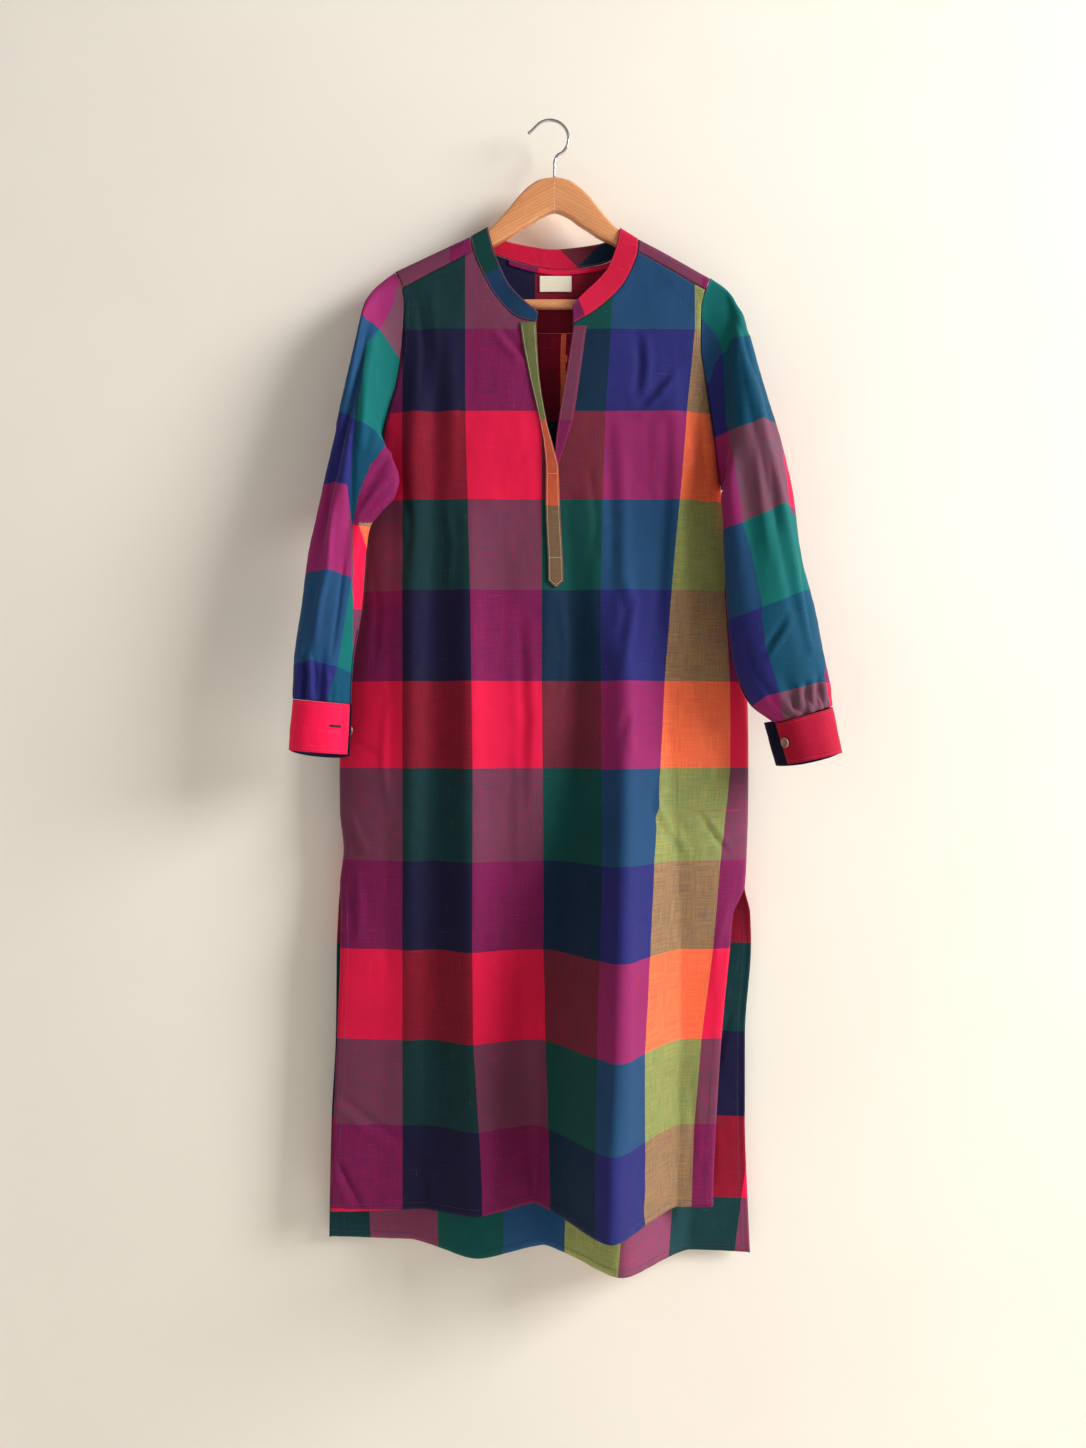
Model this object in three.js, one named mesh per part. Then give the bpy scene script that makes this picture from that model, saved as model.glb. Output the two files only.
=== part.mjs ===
// A long checked kaftan with a band collar, hanging on a wooden hanger.
// Millimetres. +X is the viewer's right, +Y goes back into the wall, +Z is up.
// The origin is the inside top of the hook, where a peg or rail carries it.
// "Drop" is the depth below the origin, so z = -drop.

import * as THREE from 'three';
import { mergeVertices } from 'three/addons/utils/BufferGeometryUtils.js';

// Cloth and seams
const CLOTH = 1.2;
const SEAM_GAP = 0.3;
const LAYER = CLOTH + SEAM_GAP + 0.25;

// Hook
const WIRE_RADIUS = 1.9;
const HOOK_INNER_RADIUS = 21.2;
const HOOK_STEM_X = 5.6;
const HOOK_FOOT_DROP = 69.7;

// Hanger
const HANGER_X = 5.6;
const ARM_HALF_THICKNESS = 7;
const ARM_REACH_LEFT = -188;
const ARM_REACH_RIGHT = 196;
const BAR_RADIUS = 6.2;
const BAR_DROP = 228.7;
const BAR_LEFT = -164.4;
const BAR_RIGHT = 173.2;

// Yoke over the hanger
const YOKE_ROUND = 8.1;
const YOKE_SEAM_DROP = 259;
const FRONT_AT_SEAM = 9.2;
const YOKE_SETTLES = 215;
const YOKE_BACK_EASE = 2.6;

// Heights that the panels share
const UNDERARM_DROP = 461;
const NECK_SLIT_END = 577;

// Buttons
const BUTTON_RADIUS = 6.2;
const BUTTON_THICKNESS = 2.6;
const BUTTON_HOLE_RADIUS = 0.9;
const BUTTON_HOLE_SPACING = 1.9;

// Smooth reading of a short table: rows of numbers under named columns, read by the first column
function table(columns, rows) {
  const at = rows.map((row) => row[0]);
  const slopes = columns.slice(1).map((_, c) => monotoneSlopes(at, rows.map((row) => row[c + 1])));
  return (value) => {
    const found = {};
    let i = at.findIndex((stop) => stop > value) - 1;
    if (value <= at[0]) i = 0;
    if (value >= at[at.length - 1]) i = at.length - 2;
    const span = at[i + 1] - at[i];
    const t = Math.min(Math.max((value - at[i]) / span, 0), 1);
    columns.slice(1).forEach((name, c) => {
      const [a, b] = [rows[i][c + 1], rows[i + 1][c + 1]];
      const [sa, sb] = [slopes[c][i] * span, slopes[c][i + 1] * span];
      found[name] = a + t * (sa + t * (3 * (b - a) - 2 * sa - sb + t * (sa + sb - 2 * (b - a))));
    });
    return found;
  };
}

// Slopes of a curve through the values that never overshoots between them
function monotoneSlopes(at, values) {
  const n = at.length;
  const steps = [];
  for (let i = 0; i < n - 1; i++) steps.push((values[i + 1] - values[i]) / (at[i + 1] - at[i]));
  const slopes = [steps[0]];
  for (let i = 1; i < n - 1; i++) {
    const [a, b] = [steps[i - 1], steps[i]];
    slopes.push(a * b <= 0 ? 0 : (2 * a * b) / (a + b));
  }
  slopes.push(steps[n - 2]);
  return slopes;
}

const lerp = (a, b, t) => a + (b - a) * t;
const clamp01 = (t) => Math.min(Math.max(t, 0), 1);
const smooth = (t) => clamp01(t) ** 2 * (3 - 2 * clamp01(t));

// The side edges of both panels: armhole, side seam, then the edge of the side slit
const sideEdges = table(['drop', 'frontLeft', 'frontRight', 'backLeft', 'backRight'], [
  [189, -193.5, 200.0, -193.5, 200.0],
  [198, -188.5, 197.5, -188.5, 197.5],
  [209, -184.0, 193.5, -184.0, 193.5],
  [236, -181.0, 187.5, -181.0, 187.5],
  [283, -183.5, 186.5, -183.5, 186.5],
  [325, -189.0, 192.0, -189.0, 192.0],
  [366, -201.0, 198.5, -201.0, 198.5],
  [411, -211.0, 205.5, -211.0, 205.5],
  [461, -220.0, 213.0, -220.0, 213.0],
  [523, -228.0, 225.0, -228.0, 225.0],
  [593, -233.0, 236.0, -233.0, 236.0],
  [678, -247.0, 245.0, -247.0, 245.0],
  [800, -262.5, 247.5, -262.5, 247.5],
  [860, -262.0, 247.0, -262.0, 247.0],
  [909, -257.5, 245.5, -257.5, 245.5],
  [955, -262.0, 243.0, -262.0, 243.0],
  [990, -260.5, 228.0, -265.5, 251.0],
  [1030, -260.0, 223.0, -268.5, 253.5],
  [1145, -264.0, 212.0, -270.0, 246.0],
  [1250, -268.5, 205.5, -275.5, 246.0],
  [1350, -271.5, 201.5, -278.0, 249.5],
  [1425, -271.5, 201.5, -279.0, 253.0],
]);

// How far the panels stand from the hanger's plane at their edges and how much they bulge between them
const depths = table(['drop', 'frontEdge', 'frontBulge', 'backEdge', 'backBulge'], [
  [150, 9.2, 0, 8.6, 0],
  [209, 9.2, 0, 9.0, 1],
  [259, 11.5, 5, 10.0, 3],
  [330, 13.0, 12, 11.0, 8],
  [400, 10.0, 20, 8.0, 13],
  [461, 0.85, 29, 0.85, 21],
  [600, 0.85, 32, 0.85, 23],
  [800, 0.85, 32, 0.85, 22],
  [955, 0.85, 26, 0.85, 20],
  [1030, 13.0, 12, 14.0, 8],
  [1145, 14.0, 8, 15.0, 7],
  [1425, 16.0, 6, 18.0, 5],
]);

// Folds that run down the front, each a ridge towards the viewer (a valley where the height is negative)
const FRONT_FOLDS = [
  table(['drop', 'x', 'height', 'halfWidth'], [
    [500, 90, 0, 46],
    [600, 90, 9, 50],
    [723, 89, 22, 56],
    [848, 86, 42, 64],
    [923, 82, 72, 74],
    [1035, 78, 100, 82],
    [1148, 74, 116, 86],
    [1350, 68, 122, 88],
  ]),
  table(['drop', 'x', 'height', 'halfWidth'], [
    [420, -100, 0, 44],
    [560, -102, 6, 46],
    [811, -100, 12, 52],
    [1035, -96, 20, 60],
    [1254, -91, 30, 66],
    [1350, -89, 36, 70],
  ]),
  table(['drop', 'x', 'height', 'halfWidth'], [
    [260, -166, 0, 26],
    [360, -168, 6, 26],
    [700, -170, 8, 28],
    [1000, -172, 7, 30],
    [1250, -174, 2, 34],
    [1350, -174, 0, 34],
  ]),
  table(['drop', 'x', 'height', 'halfWidth'], [
    [430, 20, 0, 30],
    [590, 24, -7, 30],
    [720, 26, -9, 34],
    [900, 10, -6, 38],
    [1100, 0, 0, 40],
  ]),
  table(['drop', 'x', 'height', 'halfWidth'], [
    [300, 150, 0, 34],
    [380, 152, 6, 34],
    [520, 160, 7, 34],
    [700, 176, 4, 34],
    [820, 184, 0, 34],
  ]),
];

// Folds that run down the back; a positive height goes towards the viewer, into the garment
const BACK_FOLDS = [
  table(['drop', 'x', 'height', 'halfWidth'], [
    [760, 84, 0, 60],
    [923, 85, 20, 72],
    [1035, 85, 42, 82],
    [1148, 85, 62, 88],
    [1254, 85, 78, 90],
    [1421, 85, 92, 92],
  ]),
  table(['drop', 'x', 'height', 'halfWidth'], [
    [860, -92, 0, 66],
    [1035, -92, 16, 70],
    [1254, -91, 38, 78],
    [1421, -91, 53, 84],
  ]),
  table(['drop', 'x', 'height', 'halfWidth'], [
    [300, -120, 0, 40],
    [420, -126, -5, 40],
    [700, -150, -6, 46],
    [900, -165, 0, 46],
  ]),
];

// The box pleat down the middle of the back, standing out from the yoke's seam
const PLEAT_X = 8;
const PLEAT_FLANK = 6;
const pleat = table(['drop', 'height', 'halfWidth'], [
  [255, 5.5, 21],
  [320, 7.5, 22],
  [420, 7.0, 25],
  [560, 4.0, 32],
  [760, 0, 46],
]);

const CREST_ROUND = 0.2;
const CREST_POWER = 1.25;
const FOLD_FADE = 0.1;
const SECTION_POWER = 4;
const SECTION_ROUND = 0.6;

// A fold's height across its width: a rounded crest that runs out softly
function crest(distance) {
  if (distance >= 1) return 0;
  const span = Math.sqrt(1 + CREST_ROUND ** 2) - CREST_ROUND;
  const rise = 1 - (Math.sqrt(distance ** 2 + CREST_ROUND ** 2) - CREST_ROUND) / span;
  return rise ** CREST_POWER;
}

// The panel's section between its two edges: a flattened half oval, from 0 at an edge to 1
function section(across) {
  return (1 - Math.abs(2 * clamp01(across) - 1) ** SECTION_POWER) ** SECTION_ROUND;
}

function foldsAt(folds, x, drop, across) {
  const fade = smooth(across / FOLD_FADE) * smooth((1 - across) / FOLD_FADE);
  return folds.reduce((sum, fold) => {
    const f = fold(drop);
    return sum + f.height * crest(Math.abs(x - f.x) / f.halfWidth);
  }, 0) * fade;
}

function frontPoint(x, drop) {
  const e = sideEdges(drop);
  const across = (x - e.frontLeft) / (e.frontRight - e.frontLeft);
  const d = depths(drop);
  const y = -d.frontEdge - d.frontBulge * section(across) - foldsAt(FRONT_FOLDS, x, drop, across);
  return new THREE.Vector3(x, y, -drop);
}

function backPoint(x, drop) {
  const e = sideEdges(drop);
  const across = (x - e.backLeft) / (e.backRight - e.backLeft);
  const d = depths(drop);
  const p = pleat(drop);
  const pleated = p.height * smooth((p.halfWidth + PLEAT_FLANK - Math.abs(x - PLEAT_X)) / PLEAT_FLANK);
  const y = d.backEdge + d.backBulge * section(across) - foldsAt(BACK_FOLDS, x, drop, across) + pleated;
  return new THREE.Vector3(x, y, -drop);
}

// The way out of a surface at a point, from two short steps along it
function normalOf(surface, u, v, step = 1.5) {
  const along = surface(u + step, v).sub(surface(u - step, v));
  const down = surface(u, v + step).sub(surface(u, v - step));
  return down.cross(along).normalize();
}

// A front panel point moved off the cloth: positive is towards the viewer
function frontLayer(x, drop, distance) {
  const out = normalOf(frontPoint, x, drop);
  if (out.y > 0) out.negate();
  return frontPoint(x, drop).addScaledVector(out, distance);
}

// The hanger's upper outline and its lower one, which drops at the tips to hold the bar
const hangerOutline = table(['x', 'top', 'bottom'], [
  [-200, 193.5, 243],
  [-188, 187.84, 243],
  [-165.2, 177.1, 242],
  [-164.8, 176.91, 216],
  [-130, 160.5, 186],
  [-100.6, 146.7, 172],
  [-76, 134, 159.5],
  [-63.8, 121.9, 153],
  [-51, 108, 145.5],
  [-38.8, 93, 137.5],
  [-26, 80.6, 130],
  [-11, 72.2, 120],
  [5.6, 70, 114],
  [22.2, 73, 120],
  [36, 81.6, 130],
  [48, 92.5, 137.5],
  [60, 107.5, 145.5],
  [72, 122, 151],
  [86, 135.5, 158],
  [111, 149.6, 172],
  [140, 165, 190],
  [173.6, 183.9, 220],
  [174, 184.13, 246],
  [196, 196.5, 247],
  [212, 205, 247],
]);

// The ridge of the yoke lies just over the hanger
const YOKE_LIFT = 1.15;
const yokeRidge = (x) => hangerOutline(x).top - YOKE_LIFT;

// How far the yoke stands off the hanger's plane at a depth below its ridge
function yokeDepth(below) {
  const h = Math.min(below, YOKE_ROUND);
  const round = Math.sqrt(Math.max(YOKE_ROUND ** 2 - (YOKE_ROUND - h) ** 2, 0));
  return round + (FRONT_AT_SEAM - YOKE_ROUND) * smooth((below - 4) / 14);
}

// Over the shoulder from the front seam (negative) past the ridge (0) to the back (positive)
function yokePoint(x, over) {
  const drop = yokeRidge(x) + Math.abs(over);
  if (over <= 0) return new THREE.Vector3(x, -yokeDepth(-over), -drop);
  const settled = smooth((drop - YOKE_SETTLES) / (YOKE_SEAM_DROP - YOKE_SETTLES));
  const y = lerp(yokeDepth(over) + YOKE_BACK_EASE * smooth((over - 8) / 30), backPoint(x, drop).y, settled);
  return new THREE.Vector3(x, y, -drop);
}

// The neckline seam, from the front's left end round the back to its right end, and the collar band's free
// edge above it. "Lean" is how far that edge comes towards the viewer from the seam.
const neckline = table(['along', 'seamX', 'seamDrop', 'topX', 'topDrop', 'lean'], [
  [0, -17, 255, -14.5, 242.5, 1.5],
  [1, -37, 251, -29.5, 231, 2.5],
  [2, -64.5, 226.5, -51.5, 206, 2.5],
  [3, -83.5, 194, -62.5, 182.5, 1.8],
  [4, -96, 165, -72.5, 155.5, 1],
  [5, -99.5, 144.6, -78, 131.6, 0],
  [6, -94, 151.5, -72, 138.5, 0],
  [7, -62, 164.5, -55.5, 145, -0.5],
  [8, -17.5, 177.5, -24, 152, -0.5],
  [9, 12.5, 181, 6, 155.6, -0.5],
  [10, 63, 175, 65, 148, -0.5],
  [11, 98, 157, 79, 140.5, 0],
  [12, 109.8, 147.6, 87.5, 132.6, 0],
  [13, 108.5, 166, 83, 155.5, 1],
  [14, 93.5, 202, 72, 185.5, 1.8],
  [15, 55.5, 240, 41, 220, 2.5],
  [16, 28, 257.5, 28, 234, 1.5],
]);
const FRONT_NECK = { left: 4, right: 13 };
const NECK_STOPS = {
  left: [4, 3.5, 3, 2.5, 2, 1.5, 1, 0.5, 0],
  right: [13, 13.3, 13.65, 14, 14.4, 14.8, 15.2, 15.6, 16],
};
const NECK_CLEARANCE = 0.3;
const RIDGE_NECK = { left: 5, right: 12 };

// The edges of the neck slit and of the two plackets
const slitEdges = table(['drop', 'left', 'right', 'overLeft', 'overRight', 'underRight'], [
  [255, -19, 30, -37, -17.5, 46],
  [262, -18.5, 29, -36.5, -17.2, 45],
  [321, -15.5, 20, -26, -13.7, 37],
  [379, -6.5, 10.5, -13, -5, 28],
  [412, 0, 6.6, -7.5, 3.5, 18],
  [439, 4.4, 5.6, -5.5, 10.2, 10],
  [486, 4.9, 6.1, -5.8, 11.6, 10],
  [560, 5.4, 6.6, -3.4, 15, 11],
  [577, 6, 6, -3.2, 15.3, 11],
  [700, 2, 2, 0, 0, 0],
  [1425, -14, -14, 0, 0, 0],
]);

// A thin closed wall: the points are its middle, and each face's corners turn the same way seen from outside
function shell(points, faces, thickness = CLOTH) {
  const normals = points.map(() => new THREE.Vector3());
  for (const face of faces) {
    const [a, b, c, d] = face.map((i) => points[i]);
    const n = c.clone().sub(a).cross((d ?? c).clone().sub(b));
    if (!d) n.copy(b.clone().sub(a).cross(c.clone().sub(a)));
    face.forEach((i) => normals[i].add(n));
  }
  const out = points.map((p, i) => p.clone().addScaledVector(normals[i].normalize(), thickness / 2));
  const inside = points.map((p, i) => p.clone().addScaledVector(normals[i], -thickness / 2));
  const count = points.length;
  const triangles = [];
  const edges = new Map();
  for (const face of faces) {
    for (let k = 1; k < face.length - 1; k++) {
      triangles.push([face[0], face[k], face[k + 1]]);
      triangles.push([face[0] + count, face[k + 1] + count, face[k] + count]);
    }
    face.forEach((a, k) => {
      const b = face[(k + 1) % face.length];
      if (!edges.delete(`${b},${a}`)) edges.set(`${a},${b}`, [a, b]);
    });
  }
  for (const [a, b] of edges.values()) {
    triangles.push([b, a, a + count]);
    triangles.push([b, a + count, b + count]);
  }
  return solidFrom([...out, ...inside], triangles);
}

function solidFrom(points, triangles) {
  let volume = 0;
  for (const [a, b, c] of triangles) {
    volume += points[a].dot(points[b].clone().cross(points[c]));
  }
  const turned = volume < 0 ? triangles.map(([a, b, c]) => [a, c, b]) : triangles;
  const geometry = new THREE.BufferGeometry();
  const numbers = points.flatMap((p) => [p.x, p.y, p.z]);
  geometry.setAttribute('position', new THREE.Float32BufferAttribute(numbers, 3));
  geometry.setIndex(turned.flat());
  return geometry;
}

// Rows of points joined into faces; a closed row meets its own start
function grid(rows, closed = false) {
  const width = rows[0].length;
  const faces = [];
  const reach = closed ? width : width - 1;
  for (let r = 0; r < rows.length - 1; r++) {
    for (let c = 0; c < reach; c++) {
      const next = (c + 1) % width;
      faces.push([r * width + c, (r + 1) * width + c, (r + 1) * width + next, r * width + next]);
    }
  }
  return { points: rows.flat(), faces };
}

// Joins sheets that share edges: points at the same place become one
function joined(...sheets) {
  const places = new Map();
  const points = [];
  const faces = [];
  for (const sheet of sheets) {
    const renamed = sheet.points.map((p) => {
      const key = [p.x, p.y, p.z].map((v) => v.toFixed(3)).join();
      if (!places.has(key)) {
        places.set(key, points.length);
        points.push(p);
      }
      return places.get(key);
    });
    for (const face of sheet.faces) {
      const corners = face.map((i) => renamed[i]).filter((v, k, all) => v !== all[(k + 1) % all.length]);
      if (corners.length > 2) faces.push(corners);
    }
  }
  return { points, faces };
}

// Rows of each front half: the drop at the armhole side, and where the row meets the neckline or the slit
const SHOULDER_SEAM_DROP = { left: 211, right: 213.6 };
const SLIT_CORNER_DROP = 322;
const SLIT_ROWS = [[345, 300], [372, 350], [404, 398]].map(([drop, inner]) => ({ drop, inner }));
const LEVEL_ROWS = [
  433, 461, 500, 540, 577, 620, 672, 724, 780, 836, 890, 928, 955, 985, 1020, 1065, 1115, 1170, 1225, 1285,
].map((drop) => ({ drop, inner: drop }));
const FRONT_COLUMNS = { left: 19, right: 17 };
const HEM_DROP = { left: 1356, middle: 1343, right: 1350 };

// A point beside the neckline seam, moved out of the neck opening
function neckEdge(along, distance) {
  const [a, b] = [neckline(along - 0.02), neckline(along + 0.02)];
  const [dx, dd] = [b.seamX - a.seamX, b.seamDrop - a.seamDrop];
  const reach = Math.hypot(dx, dd) || 1;
  const n = neckline(along);
  return { x: n.seamX + (dd / reach) * distance, drop: n.seamDrop - (dx / reach) * distance };
}

function frontHalf(side) {
  const alongs = NECK_STOPS[side];
  const neckRows = alongs.map((along, i) => (
    { along, drop: lerp(SHOULDER_SEAM_DROP[side], SLIT_CORNER_DROP, i / (alongs.length - 1)) }));
  const rows = [...neckRows, ...SLIT_ROWS, ...LEVEL_ROWS, { drop: HEM_DROP[side], inner: HEM_DROP.middle }];
  const columns = FRONT_COLUMNS[side];
  return rows.map((row) => {
    const edges = sideEdges(row.drop);
    const outerX = side === 'left' ? edges.frontLeft : edges.frontRight;
    let inner = { x: slitEdges(row.inner ?? 0)[row.inner < NECK_SLIT_END ? side : 'left'], drop: row.inner };
    if (row.along !== undefined) inner = neckEdge(row.along, NECK_CLEARANCE);
    const points = [];
    for (let c = 0; c <= columns; c++) {
      const t = c / columns;
      points.push(frontPoint(lerp(outerX, inner.x, t), lerp(row.drop, inner.drop, t)));
    }
    return side === 'left' ? points : points.reverse();
  });
}

function front() {
  return shellOf(joined(grid(frontHalf('left')), grid(frontHalf('right'))));
}

const shellOf = (sheet, thickness) => shell(sheet.points, sheet.faces, thickness);

const BACK_ROWS = [
  259.5, 290, 325, 368, 411, 461, 520, 593, 665, 735, 805, 870, 920, 955, 990, 1030, 1090, 1150, 1215, 1285, 1350,
];
const BACK_HALF_COLUMNS = 12;
const BACK_HEM = { left: 1401, middle: 1413, right: 1421 };
const PLEAT_COLUMNS = [-28, -21, -12, 0, 12, 21, 28];
const YOKE_END_GUESS = { left: -190, right: 198 };

function back() {
  const rows = [...BACK_ROWS, 'hem'].map((row) => {
    const hem = row === 'hem';
    const left = sideEdges(hem ? BACK_HEM.left : row).backLeft;
    const right = sideEdges(hem ? BACK_HEM.right : row).backRight;
    const places = [];
    const [pleatLeft, pleatRight] = [PLEAT_X + PLEAT_COLUMNS[0], PLEAT_X + PLEAT_COLUMNS.at(-1)];
    for (let c = 0; c < BACK_HALF_COLUMNS; c++) places.push(lerp(left, pleatLeft, c / BACK_HALF_COLUMNS));
    PLEAT_COLUMNS.forEach((offset) => places.push(PLEAT_X + offset));
    for (let c = 1; c <= BACK_HALF_COLUMNS; c++) {
      places.push(lerp(pleatRight, right, c / BACK_HALF_COLUMNS));
    }
    return places.map((x) => {
      const t = (x - left) / (right - left);
      const hemDrop = t < 0.5 ? lerp(BACK_HEM.left, BACK_HEM.middle, t * 2)
        : lerp(BACK_HEM.middle, BACK_HEM.right, t * 2 - 1);
      return backPoint(x, hem ? hemDrop : row);
    });
  });
  return shellOf(grid(rows));
}

// Where the yoke ends at an armhole, for a depth over the ridge
function yokeEnd(side, over) {
  const name = side === 'left' ? 'backLeft' : 'backRight';
  let x = YOKE_END_GUESS[side];
  for (let i = 0; i < 6; i++) x = sideEdges(yokeRidge(x) + Math.abs(over))[name];
  return x;
}

// Where the yoke ends at the neck, by the depth over the ridge, down to the corner under which it runs across
const yokeNeck = table(['over', 'left', 'right'], [
  [-19, -96.5, 108.8],
  [-14, -97.5, 109.3],
  [0, -100.2, 110.5],
  [9, -94.8, 105.5],
  [16, -94.8, 99],
]);
const YOKE_CORNER = { left: 9, right: 16 };
const SHOULDER_STRIP = { left: { outer: 25.4, neck: 21 }, right: { outer: 19.2, neck: 18 } };
const OVER_RIDGE = [-8, -3.5, -1, 0, 1, 3.5];
const YOKE_CORNER_GUESS = -185;
const YOKE_ACROSS = 10;
const YOKE_MIDDLE_ACROSS = 14;
const YOKE_DOWN = 5;
const YOKE_BOTTOM = YOKE_SEAM_DROP - SEAM_GAP;

function yokeShoulder(side) {
  const lines = [];
  for (let i = 0; i <= YOKE_ACROSS; i++) {
    const t = i / YOKE_ACROSS;
    const overs = [-lerp(SHOULDER_STRIP[side].outer, SHOULDER_STRIP[side].neck, t), ...OVER_RIDGE];
    const line = overs.map((over) => yokePoint(lerp(yokeEnd(side, over), yokeNeck(over)[side], t), over));
    const corner = YOKE_CORNER[side];
    const cornerX = yokeNeck(corner)[side];
    for (let k = 0; k <= YOKE_DOWN; k++) {
      const guess = lerp(YOKE_CORNER_GUESS, cornerX, t);
      const top = yokeRidge(guess) + corner;
      const over = lerp(top, YOKE_BOTTOM, k / YOKE_DOWN) - yokeRidge(guess);
      const x = lerp(yokeEnd(side, over), cornerX, t);
      const drop = lerp(yokeRidge(x) + corner, YOKE_BOTTOM, k / YOKE_DOWN);
      line.push(yokePoint(x, drop - yokeRidge(x)));
    }
    lines.push(line);
  }
  return side === 'left' ? lines : lines.reverse();
}

// The yoke under the back neck, from the collar's seam down to the back's seam
function yokeMiddle() {
  const lines = [];
  const [from, to] = [yokeNeck(YOKE_CORNER.left).left, yokeNeck(YOKE_CORNER.right).right];
  for (let i = 0; i <= YOKE_MIDDLE_ACROSS; i++) {
    const x = lerp(from, to, i / YOKE_MIDDLE_ACROSS);
    let edge = backNeckDrop(x) + CLOTH;
    if (i === 0) edge = yokeRidge(x) + YOKE_CORNER.left;
    if (i === YOKE_MIDDLE_ACROSS) edge = yokeRidge(x) + YOKE_CORNER.right;
    const line = [];
    for (let k = 0; k <= YOKE_DOWN; k++) {
      const drop = lerp(edge, YOKE_BOTTOM, k / YOKE_DOWN);
      line.push(yokePoint(x, drop - yokeRidge(x)));
    }
    lines.push(line);
  }
  return lines;
}

// The back neck seam's depth under a place across it
function backNeckDrop(x) {
  let [low, high] = [6, 11];
  for (let i = 0; i < 24; i++) {
    const middle = (low + high) / 2;
    if (neckline(middle).seamX < x) low = middle;
    else high = middle;
  }
  return neckline(low).seamDrop;
}

function yoke() {
  return shellOf(joined(grid(yokeShoulder('left')), grid(yokeMiddle()), grid(yokeShoulder('right'))));
}

// How far a neckline or collar point stands off the hanger's plane
function neckDepth(along, x, drop) {
  const over = Math.max(drop - yokeRidge(x), 0);
  if (along < FRONT_NECK.left || along > FRONT_NECK.right) return frontPoint(x, drop).y;
  const behind = along > RIDGE_NECK.left && along < RIDGE_NECK.right;
  return behind ? yokePoint(x, over).y : -yokeDepth(over);
}

// Where the band wraps over a hanger arm, and how much deeper its free edge lies than its seam at each end
const ARM_WRAPS = [
  { from: 4, to: 6, atFrom: 1.16, atTo: 0.96 },
  { from: 11, to: 13, atFrom: 0.8, atTo: 1.27 },
];
const WRAP_LIFT = 1.4;
const WRAP_ROUND = 7;

function collarPoint(along, up) {
  const n = neckline(along);
  const seamY = neckDepth(along, n.seamX, n.seamDrop);
  let topY = seamY - n.lean;
  let topDrop = n.topDrop;
  const wrap = ARM_WRAPS.find(({ from, to }) => along >= from && along <= to);
  if (wrap) {
    const share = (along - wrap.from) / (wrap.to - wrap.from);
    const over = Math.max(n.seamDrop - yokeRidge(n.seamX), 0) * lerp(wrap.atFrom, wrap.atTo, share);
    topDrop = yokeRidge(n.topX) + over - WRAP_LIFT * (1 - clamp01(over / WRAP_ROUND));
    topY = (seamY < 0 ? -1 : 1) * yokeDepth(over) - n.lean;
  }
  return new THREE.Vector3(lerp(n.seamX, n.topX, up), lerp(seamY, topY, up), -lerp(n.seamDrop, topDrop, up));
}

const COLLAR_STOPS = [
  ...[...NECK_STOPS.left].reverse(),
  4.4, 4.65, 4.76, 4.87, 5, 5.13, 5.24, 5.4, 5.65,
  6, 6.5, 7, 7.5, 8, 8.5, 9, 9.5, 10, 10.5, 11,
  11.4, 11.65, 11.76, 11.87, 12, 12.13, 12.24, 12.4, 12.65,
  ...NECK_STOPS.right,
];
const COLLAR_LINES = [0.012, 0.35, 0.68, 1];
const COLLAR_CORNER = 0.9;

function collar() {
  const cut = (along, up) => (along === 0 ? Math.min(up, COLLAR_CORNER) : up);
  return shellOf(grid(COLLAR_LINES.map((up) => COLLAR_STOPS.map((along) => collarPoint(along, cut(along, up))))));
}

// A strip that lies on the front, between two edges given at each drop, standing off by a changing distance
function strip(drops, edges, off, across = 2) {
  return grid(drops.map((drop) => {
    const { left, right } = edges(drop);
    const line = [];
    for (let i = 0; i <= across; i++) line.push(frontLayer(lerp(left, right, i / across), drop, off(drop)));
    return line;
  }));
}

const PLACKET_DROPS = [256.5, 275, 298, 321, 345, 368, 390, 405, 420, 434, 450, 475, 505, 535, 560];
const POINT_DROPS = [577, 585];
const POINT_TAPER = 0.83;
const OVERLAP_DROP = 385;
const UNDER_TOP = 261;

function placketOver() {
  const off = (drop) => LAYER * (1 + smooth((drop - OVERLAP_DROP) / 40));
  const edges = (drop) => {
    const e = slitEdges(drop);
    const taper = POINT_TAPER * clamp01((drop - POINT_DROPS[0]) / (POINT_DROPS[1] - POINT_DROPS[0]));
    const middle = (e.overLeft + e.overRight) / 2;
    return { left: lerp(e.overLeft, middle, taper), right: lerp(e.overRight, middle, taper) };
  };
  return shellOf(strip([...PLACKET_DROPS, ...POINT_DROPS], edges, off));
}

function placketUnder() {
  const edges = (drop) => ({ left: slitEdges(drop).right, right: slitEdges(drop).underRight });
  return shellOf(strip(PLACKET_DROPS.map((drop) => Math.max(drop, UNDER_TOP)), edges, () => LAYER));
}

// The binding inside the back neck seam and the bare label sewn under it, both on the yoke's inner side
function insideYoke(x, drop, distance) {
  const point = yokePoint(x, drop - yokeRidge(x));
  point.y -= distance;
  return point;
}

const TAPE = { left: -52, right: 84, below: 1.6, height: 6, steps: 16, thickness: 1 };
const LABEL = { left: -13, right: 27, top: 189.5, bottom: 209.5, steps: 6, thickness: 1 };
const INSIDE_LAYER = 1.45;

function neckTape() {
  const rows = [0, 1].map((k) => Array.from({ length: TAPE.steps + 1 }, (_, i) => {
    const x = lerp(TAPE.left, TAPE.right, i / TAPE.steps);
    return insideYoke(x, backNeckDrop(x) + TAPE.below + k * TAPE.height, INSIDE_LAYER);
  }));
  return shellOf(grid(rows), TAPE.thickness);
}

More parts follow.
